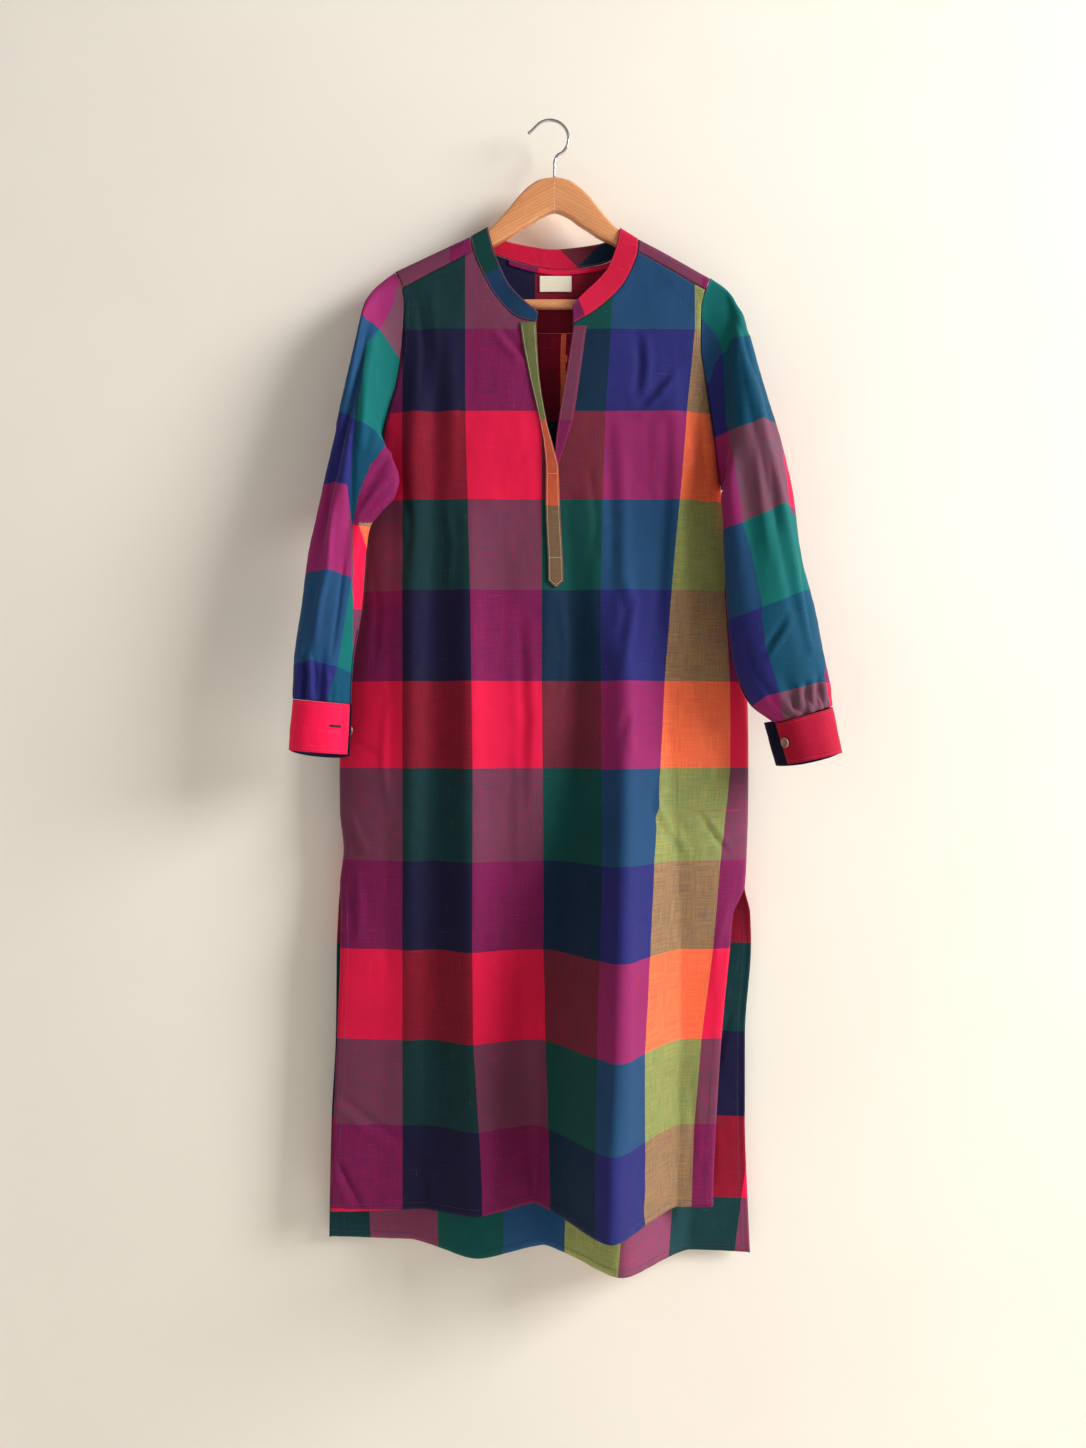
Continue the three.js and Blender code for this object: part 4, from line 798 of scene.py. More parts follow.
def beech(name):
    m = Nodes(name)
    x, y, z = m.parted(m.here())
    # The grain follows each arm: its height is measured from the arm's own slope
    slope = m.plus(z, m.times(m.math("ABSOLUTE", m.math("SUBTRACT", x, 0.0056)), 0.53))
    bent = m.noise(m.vector(m.times(x, 9.0), m.times(y, 60.0), m.times(slope, 60.0)), 1.0, 3.0, 0.55)
    rings = m.math("SINE", m.plus(m.times(slope, 1500.0), m.times(bent, 14.0)))
    ray = m.noise(m.vector(m.times(x, 150.0), m.times(y, 900.0), m.times(slope, 900.0)), 1.0, 2.0, 0.6)
    base = m.mix(m.span(rings, -1.0, 1.0, 0.0, 0.55), rgb(216, 148, 98), rgb(184, 112, 68))
    base = m.mix(m.span(ray, 0.45, 0.75, 0.0, 0.35), base, rgb(160, 92, 52))
    base = m.mix(m.span(bent, 0.35, 0.7, 0.0, 0.4), base, rgb(226, 162, 112))
    return m.finished(base, m.span(ray, 0.3, 0.7, 0.32, 0.46), (ray, 0.12, 0.0003), Coat_Weight=0.35,
                      Coat_Roughness=0.22)


def chrome(name):
    m = Nodes(name)
    rub = m.noise(m.here(), 260.0, 3.0, 0.6)
    base = m.mix(m.span(rub, 0.35, 0.7, 0.0, 1.0), rgb(196, 196, 198), rgb(166, 166, 170))
    return m.finished(base, m.span(rub, 0.3, 0.7, 0.14, 0.3), (rub, 0.05, 0.0001), Metallic=1.0)


def horn(name):
    m = Nodes(name)
    where = m.here()
    cloud, veins = m.noise(where, 130.0, 4.0, 0.6), m.noise(where, 420.0, 2.0, 0.5)
    base = m.mix(m.span(cloud, 0.35, 0.65, 0.0, 1.0), rgb(112, 100, 84), rgb(168, 156, 134))
    base = m.mix(m.span(veins, 0.55, 0.75, 0.0, 0.5), base, rgb(60, 48, 38))
    return m.finished(base, m.span(cloud, 0.3, 0.7, 0.24, 0.38), (veins, 0.08, 0.0002), Coat_Weight=0.3)


def label_cloth(name):
    m = Nodes(name)
    u, v, _ = m.parted(m.add("ShaderNodeUVMap", uv_map="cloth").outputs[0])
    a, b = m.times(u, 95.0), m.times(v, 108.0)
    fine = m.noise(m.vector(m.times(a, 0.4), m.times(b, 3.0)), 1.0, 2.0, 0.6)
    cloud = m.noise(m.vector(a, b), 0.12, 2.0, 0.5)
    base = m.mix(m.span(fine, 0.3, 0.7, 0.0, 0.5), rgb(238, 229, 208), rgb(214, 203, 180))
    base = m.mix(m.span(cloud, 0.4, 0.7, 0.0, 0.25), base, rgb(206, 190, 164))
    return m.finished(base, m.span(fine, 0.3, 0.7, 0.6, 0.75), (fine, 0.4, 0.0002), Sheen_Weight=0.1)


cloth_of = {}


def cloth(slot):
    if slot not in cloth_of:
        cloth_of[slot] = woven(f"{slot}_cotton", LIT.get(slot, 1.0), SLEEVE_WARP_PAINTED_LIGHT if "sleeve" in slot else WARP)
    return cloth_of[slot]


THREAD = plain_thread("blue_grey_thread", (58, 56, 92))
RED_THREAD = plain_thread("red_thread", (196, 52, 84))
PALE_THREAD = plain_thread("pale_thread", (206, 200, 186))
DARK_THREAD = plain_thread("maroon_thread", (54, 16, 40))


# Front
# Stripe edges 1 to 6 as photo (y, x) places
FRONT_U_LINES = [
    numbers("255 402, 1240 402"),
    numbers("255 464, 410 464, 590 469, 770 471, 950 471, 1040 472, 1190 481"),
    numbers("590 542, 680 542, 860 543.5, 950 543.5, 1200 551"),
    numbers("300 612, 409 605, 500 602, 590 600, 860 600, 950 598, 1040 595, 1200 595"),
    numbers("328 694, 410 686, 590 671, 681 663.5, 768 659, 862 653, 955 649, 1056 644, 1241 644"),
    numbers("""
        328 752, 410 744, 590 724, 680 730, 770 730, 823 724.5, 863 720, 948 713, 1041 701, 1130 694, 1213 691""")]
FRONT_V = numbers("263.5 1, 368 2, 477.5 3, 588 4, 700 5, 807 6, 920.4 7, 1030 8, 1141.9 9, 1246.5 10")
STRIPE_PX = 76


def along_table(value, rows):
    """Straight reading of (at, value) rows that goes on past both ends."""
    at, found = np.array(rows, float).T
    low = found[0] + (value - at[0]) * (found[1] - found[0]) / (at[1] - at[0])
    high = found[-1] + (value - at[-1]) * (found[-1] - found[-2]) / (at[-1] - at[-2])
    return np.where(value < at[0], low, np.where(value > at[-1], high, np.interp(value, at, found)))


def edges_at(value, lines):
    """Where each drawn line stands at a value."""
    return [np.interp(value, *np.transpose(line)) for line in lines]


def front_uv(p, drop):
    px, py = pixel(p)
    edges = edges_at(py, FRONT_U_LINES)
    u = 1 + (px - edges[0]) / STRIPE_PX
    for k in range(5):
        inside = px >= edges[k]
        u = np.where(inside, k + 1 + (px - edges[k]) / (edges[k + 1] - edges[k]), u)
    u = np.where(px >= edges[5], 6 + (px - edges[5]) / STRIPE_PX, u)
    return u, along_table(drop, FRONT_V)


def neck_edge(along, distance):
    a, b = neckline(along - 0.02), neckline(along + 0.02)
    dx, dd = b["seamX"] - a["seamX"], b["seamDrop"] - a["seamDrop"]
    reach = np.maximum(np.hypot(dx, dd), 1e-6)
    n = neckline(along)
    return n["seamX"] + dd / reach * distance, n["seamDrop"] - dx / reach * distance


ROWS_NECK, ROWS_SLIT, ROWS_LEVEL, ROWS_HEM = 32, 34, 216, 16
# Drops at the armhole and at the slit for the rows between neck and level cloth
ARMHOLE_STOPS, SLIT_STOPS = [322, 345, 372, 404, 433], [300, 350, 398, 433]
SLIT_START = {"left": (-17, 255.3), "right": (28, 257.8)}
LEVEL_FROM, LEVEL_TO = 433, 1285
FRONT_COLS = {"left": 70, "right": 66}


def front_rows(side):
    """For each row: the drop at the armhole side, and x and drop where it meets the neck, slit or middle."""
    stops = NECK_STOPS[side]
    t = np.linspace(0, len(stops) - 1, ROWS_NECK, endpoint=False)
    along = np.interp(t, range(len(stops)), stops)
    x, d = neck_edge(along, 0.3)
    rows = [(np.linspace(SHOULDER_SEAM_DROP[side], ARMHOLE_STOPS[0], ROWS_NECK, endpoint=False), x, d)]
    s = np.linspace(0, 4, ROWS_SLIT, endpoint=False)
    start_x, first = SLIT_START[side]
    outer, inner = np.interp(s, range(5), ARMHOLE_STOPS), np.interp(s, range(5), [first, *SLIT_STOPS])
    rows.append((outer, lerp(start_x, slit_edges(inner)[side], smooth((inner - first) / 12)), inner))
    level = np.linspace(LEVEL_FROM, LEVEL_TO, ROWS_LEVEL, endpoint=False)
    e = slit_edges(level)
    rows.append((level, np.where(level < NECK_SLIT_END, e[side], e["left"]), level))
    h = np.linspace(0, 1, ROWS_HEM)
    middle = lerp(LEVEL_TO, FRONT_HEM["middle"], h)
    rows.append((lerp(LEVEL_TO, FRONT_HEM[side], h), slit_edges(middle)["left"], middle))
    return [np.concatenate(c) for c in zip(*rows)]


def hem_puckers(distance, along, width, height):
    """A hem's doubled cloth and the small pulls that its stitching leaves."""
    inside = smooth((width - distance) / 1.6)
    pull = 0.5 + 0.5 * np.sin(along / 3.1 + 1.7 * np.sin(along / 17))
    return inside * height * (0.7 + 0.6 * pull)


def front_half(side):
    outer, inner_x, inner_drop = front_rows(side)
    outer_x = edge_x("front", side, outer)
    t = np.linspace(0, 1, FRONT_COLS[side] + 1)
    if side == "right":
        t = t[::-1]
    x = lerp(outer_x[:, None], inner_x[:, None], t[None])
    drop = lerp(outer[:, None], inner_drop[:, None], t[None])
    base = front_point(x, drop)
    off = creases(*pixel(base), FRONT_CREASES)
    off = off + hung_cloth(base, 34, 0.42, 1)
    hem_at = lerp(FRONT_HEM[side], FRONT_HEM["middle"], t[None])
    off = off + hem_puckers(hem_at - drop, x, 9, 0.55)
    from_side = np.abs(x - outer_x[:, None])
    off = off + np.where(drop > SLIT_TOP - 6, hem_puckers(from_side, drop, 11, 0.5), 0)
    armhole = np.where(drop < UNDERARM_DROP, np.exp(-((from_side / 7) ** 2)), 0)
    off = off + armhole * 0.5 * np.sin(drop / 4.6)
    # Seams stay where they are joined to the next piece
    from_slit = np.abs(x - inner_x[:, None])
    off = off * smooth(from_side / 4) * np.where(drop < NECK_SLIT_END, smooth(from_slit / 3 + 0.25), 1)
    n = towards_eye(normal_of(front_point, x, drop))
    p = base + n * off[..., None]
    u, v = front_uv(base, drop)
    return p, u, v


def build_front():
    halves = []
    for side in SIDES:
        p, u, v = front_half(side)
        halves.append(sheet_object(f"front_{side}_half", p, per_point(u, v), cloth("front"), thickness=None))
    return joined("front_panel", halves)


# Back
BACK_V = [(918.8, 2), (1028.9, 3), (1140.3, 4), (1247.9, 5), (1351.6, 6)]
BACK_ANCHOR_X, BACK_ANCHOR_U = -59, 4
BACK_TOP, BACK_LEVEL_TO, HEM_FROM = 259.5, 1350, 0.95
PLEAT_EDGE_X = 13.9


def pleat_inside_u(x):
    yellow = (x > PLEAT_EDGE_X) & (x < PLEAT_EDGE_X + 7)
    return np.where(yellow, 5.5, 1.7) + (x - PLEAT_EDGE_X) / 400


def back_hem(across):
    """The hem's drop from one side to the other."""
    return np.where(across < 0.5, lerp(BACK_HEM["left"], BACK_HEM["middle"], across * 2),
                    lerp(BACK_HEM["middle"], BACK_HEM["right"], across * 2 - 1))


def build_back():
    rows, cols = 262, 172
    s = np.linspace(0, 1, rows)
    across = np.linspace(0, 1, cols)
    straight = lerp(BACK_TOP, BACK_LEVEL_TO, np.clip(s / HEM_FROM, 0, 1))
    e = side_edges(straight)
    left, right = e["backLeft"][:, None], e["backRight"][:, None]
    hem_drop = back_hem(across)[None]
    t = np.clip((s[:, None] - HEM_FROM) / (1 - HEM_FROM), 0, 1)
    drop = lerp(straight[:, None], hem_drop, t)
    left = lerp(left, edge_x("back", "left", BACK_HEM["left"]), t)
    right = lerp(right, edge_x("back", "right", BACK_HEM["right"]), t)
    x = lerp(left, right, across[None])
    base = back_point(x, drop)
    off = creases(x, drop, BACK_CREASES)
    off = off + hung_cloth(base, 36, 0.4, 5)
    off = off + hem_puckers(hem_drop - drop, x, 9, 0.5)
    from_side = np.minimum(x - left, right - x)
    off = off + np.where(drop > SLIT_TOP - 6, hem_puckers(from_side, drop, 11, 0.45), 0)
    off = off * smooth(from_side / 4) * smooth((drop - YOKE_SEAM_DROP) / 6 + 0.1)
    n = towards_eye(normal_of(back_point, x, drop))
    p = base - n * off[..., None]
    # Warp stripes by the cloth's own width, from where one stripe's edge meets the hem
    arc = reach_along(base, 1)
    anchor = np.array([np.interp(BACK_ANCHOR_X, x[i], arc[i]) for i in range(rows)])[:, None]
    u = BACK_ANCHOR_U + (arc - anchor) / STRIPE
    u = u + np.sign(x - PLEAT_X) * 0.35 * (1 - smooth((drop - YOKE_SEAM_DROP) / 500))
    box = np.interp(drop, [255, 420, 640], [24, 27, 0])
    inside = np.abs(x - PLEAT_X) < box
    u = np.where(inside, pleat_inside_u(x), u)
    v = along_table(drop, BACK_V)

    def uv_at(r, c, face_r, face_c):
        # A face that straddles the pleat's fold takes the side that its middle is on
        corner_u = u[r, c]
        middle_x = (x[face_r, face_c] + x[face_r + 1, face_c + 1]) / 2
        mid_inside = np.abs(middle_x - PLEAT_X) < box[face_r, face_c]
        outer = np.where(inside[r, c], np.nan, corner_u)
        outer = np.nanmean(np.where(np.isnan(outer).all(1, keepdims=True), corner_u, outer), axis=1, keepdims=True)
        one_side = np.where(mid_inside, pleat_inside_u(middle_x), outer)
        return np.where(np.ptp(corner_u, axis=1, keepdims=True) > 0.5, one_side, corner_u), v[r, c]

    return sheet_object("back_panel", p, uv_at, cloth("back"))


# Yoke
YOKE_BOTTOM = YOKE_SEAM_DROP - SEAM_GAP
YOKE_CORNER = {"left": 9, "right": 16}
SHOULDER_STRIP = {"left": (25.4, 21), "right": (19.2, 18)}
yoke_neck = table("over left right", """
    -19 -96.5 108.8, -14 -97.5 109.3, 0 -100.2 110.5, 9 -94.8 105.5, 16 -94.8 99""")
YOKE_V = [(-126, 1), (-19, 2), (92, 3), (188, 4)]
NECK_ALONG = np.linspace(6, 11, 400)
NECK_BACK = neckline(NECK_ALONG)


YOKE_NECK_GAP = 0.3


def back_neck_drop(x):
    return np.interp(x, NECK_BACK["seamX"], NECK_BACK["seamDrop"])


YOKE_REACH = {"left": 0.4, "right": 1.8}


def yoke_end(side, over):
    x = np.full(np.shape(over), {"left": -190.0, "right": 198.0}[side])
    for _ in range(6):
        x = edge_x("back", side, yoke_ridge(x) + np.abs(over)) + YOKE_REACH[side]
    return x


def finer(stops, each):
    stops = np.asarray(stops, float)
    at = np.arange(len(stops))
    return np.interp(np.linspace(0, len(stops) - 1, (len(stops) - 1) * each + 1), at, stops)


def yoke_shoulder(side):
    across, down = 44, 40
    corner = YOKE_CORNER[side]
    corner_x = float(yoke_neck(corner)[side])
    outer, neck = SHOULDER_STRIP[side]
    lines = []
    for t in np.linspace(0, 1, across + 1):
        overs = finer([-lerp(outer, neck, t), -8, -3.5, -1, 0, 1, 3.5], 5)
        x = lerp(yoke_end(side, overs), yoke_neck(overs)[side], t)
        guess = lerp(-185, corner_x, t)
        k = np.linspace(0, 1, down + 1)
        top = yoke_ridge(guess) + corner
        over = lerp(top, YOKE_BOTTOM, k) - yoke_ridge(guess)
        x2 = lerp(yoke_end(side, over), corner_x, t)
        drop = lerp(yoke_ridge(x2) + corner, YOKE_BOTTOM, k)
        lines.append(np.stack([np.concatenate([x, x2]), np.concatenate([overs, drop - yoke_ridge(x2)])], -1))
    lines = np.array(lines)
    return lines if side == "left" else lines[::-1]


def yoke_middle():
    stops, down = 14, 40
    left, right = float(yoke_neck(9)["left"]), float(yoke_neck(16)["right"])
    x = np.linspace(left, right, 113)
    step = (right - left) / stops
    edge = back_neck_drop(x) + YOKE_NECK_GAP
    start, end = yoke_ridge(left) + YOKE_CORNER["left"], yoke_ridge(right) + YOKE_CORNER["right"]
    first = back_neck_drop(left + step) + YOKE_NECK_GAP
    last = back_neck_drop(right - step) + YOKE_NECK_GAP
    edge = np.where(x < left + step, lerp(start, first, (x - left) / step), edge)
    edge = np.where(x > right - step, lerp(last, end, (x - right + step) / step), edge)
    drop = lerp(edge[:, None], YOKE_BOTTOM, np.linspace(0, 1, down + 1)[None])
    xs = np.broadcast_to(x[:, None], drop.shape)
    return np.stack([xs, drop - yoke_ridge(xs)], -1)


def build_yoke():
    parts = []
    for name, lines in (("l", yoke_shoulder("left")), ("m", yoke_middle()), ("r", yoke_shoulder("right"))):
        x, over = lines[..., 0], lines[..., 1]
        base = yoke_point(x, over)
        n = normal_of(yoke_point, x, over, 0.8)
        n = np.where((n[..., 1:2] * np.sign(base[..., 1:2])) < 0, -n, n)
        drop = -base[..., 2]
        rim = smooth((YOKE_BOTTOM - drop) / 5) * smooth((over + 26) / 9)
        off = (0.45 * rumple(base, 26, 8) + 0.2 * rumple(base, 10, 9)) * rim * smooth((np.abs(over) - 6) / 8)
        off = np.where(drop < back_neck_drop(x) + 4, off * 0.2, off)
        p = base + n * off[..., None]
        u, v = np.minimum(1 + (over - 14) / STRIPE, 1.97), along_table(x, YOKE_V)
        parts.append(sheet_object(f"yoke_{name}", p, per_point(u, v), cloth("yoke"), thickness=None))
    return joined("shoulder_yoke", parts)


# Collar band
COLLAR_TEAL_END, COLLAR_GREEN_END, COLLAR_RED_FROM, COLLAR_RED_TO = 2.9, 4.9, 11, 15.4
NECK_MIDDLE = [5, 0, -170]
BIAS_X, BIAS_Y = 577.5, 267.5


def collar_uv(p, along, up, middle):
    px, py = pixel(p)
    k = PIXEL / STRIPE / math.sqrt(2)
    u = 3 + ((px - BIAS_X) - (py - BIAS_Y)) * k
    v = 2 - ((px - BIAS_X) + (py - BIAS_Y)) * k
    plain_u = 0.15 + 0.3 * up
    zones = [
        (middle < COLLAR_TEAL_END, 4 + plain_u, 0.03 + 0.92 * along / COLLAR_TEAL_END),
        ((middle >= COLLAR_TEAL_END) & (middle < COLLAR_GREEN_END), 3 + plain_u, 0.1 + 0.35 * (along - 2.9)),
        ((middle >= COLLAR_RED_FROM) & (middle < COLLAR_RED_TO), 2 + plain_u, 2.05 + 0.2 * (along - 11)),
        (middle >= COLLAR_RED_TO, 2 + plain_u, 1.5 + 0 * along),
    ]
    for zone, zu, zv in zones:
        u, v = np.where(zone, zu, u), np.where(zone, zv, v)
    return u, v


def collar_grid():
    stops = np.array(NECK_STOPS["left"][::-1] + [4.4, 4.65, 4.76, 4.87, 5, 5.13, 5.24, 5.4, 5.65]
                     + list(np.arange(6, 11.25, 0.5))
                     + [11.4, 11.65, 11.76, 11.87, 12, 12.13, 12.24, 12.4, 12.65] + NECK_STOPS["right"])
    along = finer(stops, 6)
    lines = np.linspace(0, 1, 17)
    up = 0.012 + lines[:, None] * (0.988 - 0.1 * (1 - smooth(along[None] / 0.35)))
    return np.broadcast_to(along[None], up.shape), up


def build_collar():
    along, up = collar_grid()
    base = collar_point(along, up)
    n = facing(grid_normals(base), base - NECK_MIDDLE)
    arc = reach_along(base[8])[None]
    edge = np.minimum(up, 1 - up)
    off = 0.28 * rumple(base, 12, 11) * smooth(edge / 0.15)
    for line in (0.9, 0.1):
        off = off - 0.28 * np.exp(-(((up - line) / 0.035) ** 2))
    off = off + 0.1 * np.sin(arc / 2.1) * np.exp(-(((up - 0.5) / 0.4) ** 2))
    wraps = (np.abs(along - 5) < 1.1) | (np.abs(along - 12) < 1.1)
    p = base + n * np.where(wraps, 0.3 * off, off)[..., None]

    def uv_at(r, c, face_r, face_c):
        middle = (along[0][face_c] + along[0][face_c + 1]) / 2
        return collar_uv(base[r, c], along[r, c], up[r, c], np.broadcast_to(middle, r.shape))

    return sheet_object("collar_stand", p, uv_at, cloth("collar_band"), thickness=1.5), p, n


# Plackets
PLACKET_TOP, POINT_FROM, POINT_TO, POINT_TAPER = 256.5, 577, 585, 0.83
OVERLAP_DROP, UNDER_TOP, UNDER_END = 385, 261, 560


def placket_over_edges(drop):
    e = slit_edges(drop)
    taper = POINT_TAPER * np.clip((drop - POINT_FROM) / (POINT_TO - POINT_FROM), 0, 1)
    middle = (e["overLeft"] + e["overRight"]) / 2
    return lerp(e["overLeft"], middle, taper), lerp(e["overRight"], middle, taper)


def over_off(drop):
    return LAYER * (1 + smooth((drop - OVERLAP_DROP) / 40))


def placket_surface(edges, off):
    def surface(t, drop):
        left, right = edges(drop)
        return front_layer(lerp(left, right, t), drop, off(drop))
    return surface


def build_placket(name, slot, surface, drops, uv_of, seed):
    t = np.linspace(0, 1, 19)
    drop, across = np.meshgrid(drops, t, indexing="ij")
    base = surface(across, drop)
    n = towards_eye(grid_normals(base))
    edge = np.minimum(across, 1 - across)
    off = 0.3 * rumple(base, 11, seed) * smooth(edge / 0.2)
    off = off - 0.3 * np.exp(-(((edge - 0.1) / 0.05) ** 2)) * (0.6 + 0.4 * np.sin(drop / 2.4))
    p = base + n * off[..., None]
    return sheet_object(name, p, per_point(*uv_of(base, across)), cloth(slot), thickness=1.1), p, n


def over_uv(p, across):
    py = pixel(p)[1]
    return 5.15 + 0.35 * across, np.minimum(3 - (py - 419) / 87, 3.98)


def under_uv(p, across):
    py = pixel(p)[1]
    return 2.15 + 0.2 * across, 3 + (py - 324) / 95


# Inside the back neck
TAPE = dict(left=-52, right=84, below=1.6, height=6)
LABEL = dict(left=-13, right=27, top=189.5, bottom=209.5)
INSIDE_LAYER = 1.45


def inside_yoke(x, drop, distance):
    p = yoke_point(x, drop - yoke_ridge(x))
    p[..., 1] -= distance
    return p


def build_neck_tape():
    x = np.linspace(TAPE["left"], TAPE["right"], 120)[None]
    k = np.linspace(0, 1, 7)[:, None]
    drop = back_neck_drop(x) + TAPE["below"] + k * TAPE["height"]
    xs = np.broadcast_to(x, drop.shape)
    base = inside_yoke(xs, drop, INSIDE_LAYER)
    base[..., 1] -= 0.25 * (1 - (2 * k - 1) ** 2) + 0.1 * np.sin(xs / 2.2)
    return sheet_object("neck_binding", base, per_point(2.2 + (k + 0 * x) * 0.2, np.where(xs < -15, 1.4, 2.4) + 0 * k),
                        cloth("neck_tape"), thickness=0.8)


def build_label():
    x = np.linspace(LABEL["left"], LABEL["right"], 60)[None]
    k = np.linspace(0, 1, 30)[:, None]
    drop = lerp(LABEL["top"], LABEL["bottom"], k) + 0 * x
    xs = np.broadcast_to(x, drop.shape)
    base = inside_yoke(xs, drop, INSIDE_LAYER)
    t = (xs - LABEL["left"]) / (LABEL["right"] - LABEL["left"])
    base[..., 1] -= 0.5 * np.sin(np.pi * np.clip(t, 0, 1)) * (0.4 + 0.6 * k)
    return sheet_object("bare_label", base, per_point(t + 0 * k, k + 0 * x), label_material, thickness=0.6)


# Pocket bag behind the front
POCKET = dict(left=153.5, top=703, bottom=864, corner=14, sideSeam=18)
CORNER_CUT = 0.6


def pocket_left(drop):
    rounding = smooth((drop - POCKET["bottom"] + POCKET["corner"]) / POCKET["corner"])
    return POCKET["left"] + POCKET["corner"] * rounding * CORNER_CUT


def build_pocket():
    drop = np.linspace(POCKET["top"], POCKET["bottom"], 70)[:, None]
    left, right = pocket_left(drop), side_edges(drop)["frontRight"] - POCKET["sideSeam"]
    x = lerp(left, right, np.linspace(0, 1, 40)[None])
    drops = np.broadcast_to(drop, x.shape)
    base = front_layer(x, drops, -LAYER)
    edge = np.minimum(x - left, right - x)
    base[..., 1] += 0.35 * rumple(base, 18, 14) * smooth(edge / 12)
    return sheet_object("pocket_lining", base, per_point(*front_uv(base, drops)), cloth("pocket_bag"), thickness=0.8)


# Sleeves
# Stripe edges 4 and 3 as photo (y, x) places down each edge
SLEEVE_U_LINES = {
    "left": [
        numbers("""
            262 408, 290 397, 306 394, 330 380, 344 366, 365 361, 420 355, 480 351, 540 351, 580 352, 622 345,
            666 338, 696 329, 720 325"""),
        numbers("300 446, 400 416, 424 391, 445 385, 465 370, 485 361, 505 356, 524 353, 560 362, 700 362")],
    "right": [
        numbers("""
            300 694, 318 702, 337 718, 352 723, 420 726, 434 730, 490 739, 522 743, 552 752, 603 763, 616 762,
            648 767, 692 780, 714 783, 740 788"""),
        numbers("""
            283 765, 420 792, 455 783, 468 785, 512 790, 530 812, 600 818, 660 826, 676 824, 700 829, 740 834""")],
}
# Row edges, from each sleeve's first, as photo (x, y) places along each edge
SLEEVE_V_LINES = {
    "left": [
        numbers("355 216, 401 246"),
        numbers("355 314, 363 315, 380 330, 401 361, 410 375"),
        numbers("335 411, 345 413, 355 418, 371 427, 386 444, 404 463"),
        numbers("320 485, 334 481.5, 347 484, 352 524, 366 526, 400 528"),
        numbers("305 573, 328 569, 351 577, 354 609, 366 609"),
        numbers("290 665, 310 659, 338 666, 352 673, 356 690"),
        numbers("290 754, 356 776")],
    "right": [
        numbers("700 262, 712 258, 748 246"),
        numbers("702 386, 711 382, 717 356, 726 350, 731 338, 748 335.6, 760 338"),
        numbers("700 446, 722 433, 740 426, 762 418, 775 422, 785 426"),
        numbers("724 529, 743 522, 762 514, 783 503, 794 508"),
        numbers("729 619, 761 607, 806 589, 812 590"),
        numbers("749 708, 767 695, 780 692, 822 681, 832 684"),
        numbers("749 796, 832 772")],
}
SLEEVE_FIRST_ROW = {"left": 2, "right": 0}
# The underside that shows beside the left sleeve's fold, in photo pixels
UNDERSIDE = dict(left=352.5, top=522, yellow=359)
SEAM_TURN = 0.57
SLIT_TURNS, SLIT_RINGS = (0.48, 0.505), 1.6


def sleeve_rows(side):
    last = LAST_RING[side]
    at = np.linspace(0, last, 400)
    s = SLEEVES[side](at)
    line = np.stack([(s["outX"] + s["inX"]) / 2, (s["outDrop"] + s["inDrop"]) / 2], -1)
    outer = np.stack([s["outX"], s["outDrop"]], -1)
    reach = reach_along(line) + 0.5 * reach_along(outer)
    return np.interp(np.linspace(0, reach[-1], 176), reach, at)


def rows_between(value, edges, first):
    """Counts up from `first` across neighbouring edges, and goes on past both ends."""
    found = first + (value - edges[0]) / (edges[1] - edges[0])
    for k in range(1, len(edges) - 1):
        found = np.where(value >= edges[k], first + k + (value - edges[k]) / (edges[k + 1] - edges[k]), found)
    return found


def sleeve_uv(side, turn, p):
    """In front by the stripe edges' places; behind, on by arc length to a seam under the arm."""
    px, py = pixel(p)
    four, three = edges_at(py, SLEEVE_U_LINES[side])
    u = np.where(px < four, 4 - (px - four) / STRIPE_PX, 4 - (px - four) / (three - four))
    u = np.where(px > three, 3 - (px - three) / STRIPE_PX, u)
    if side == "left":
        under = (px > UNDERSIDE["left"]) & (py > UNDERSIDE["top"])
        yellow = px > UNDERSIDE["yellow"] + 0.35 * (py - 525)
        u = np.where(under, np.where(yellow, 5.6, 6.4), u)
    arc = reach_along(p, 1)
    total = arc[:, -1:] + np.linalg.norm(p[:, :1] - p[:, -1:], axis=2)
    way = INWARD[side]
    half = np.argmin(np.abs(turn[0] - 0.495))
    at = np.arange(len(u))
    outer = np.polyval(np.polyfit(at, u[:, 0], 3), at)[:, None]
    behind = outer + way * (total - arc) / STRIPE
    inner = u[:, half:half + 1]
    under_arm = inner - way * (arc - arc[:, half:half + 1]) / STRIPE
    under_arm = np.clip(under_arm, np.floor(inner) + 0.02, np.floor(inner) + 0.98)
    u = np.where(turn > SEAM_TURN, behind, np.where(turn > 0.497, under_arm, u))
    return u, rows_between(py, edges_at(px, SLEEVE_V_LINES[side]), SLEEVE_FIRST_ROW[side])


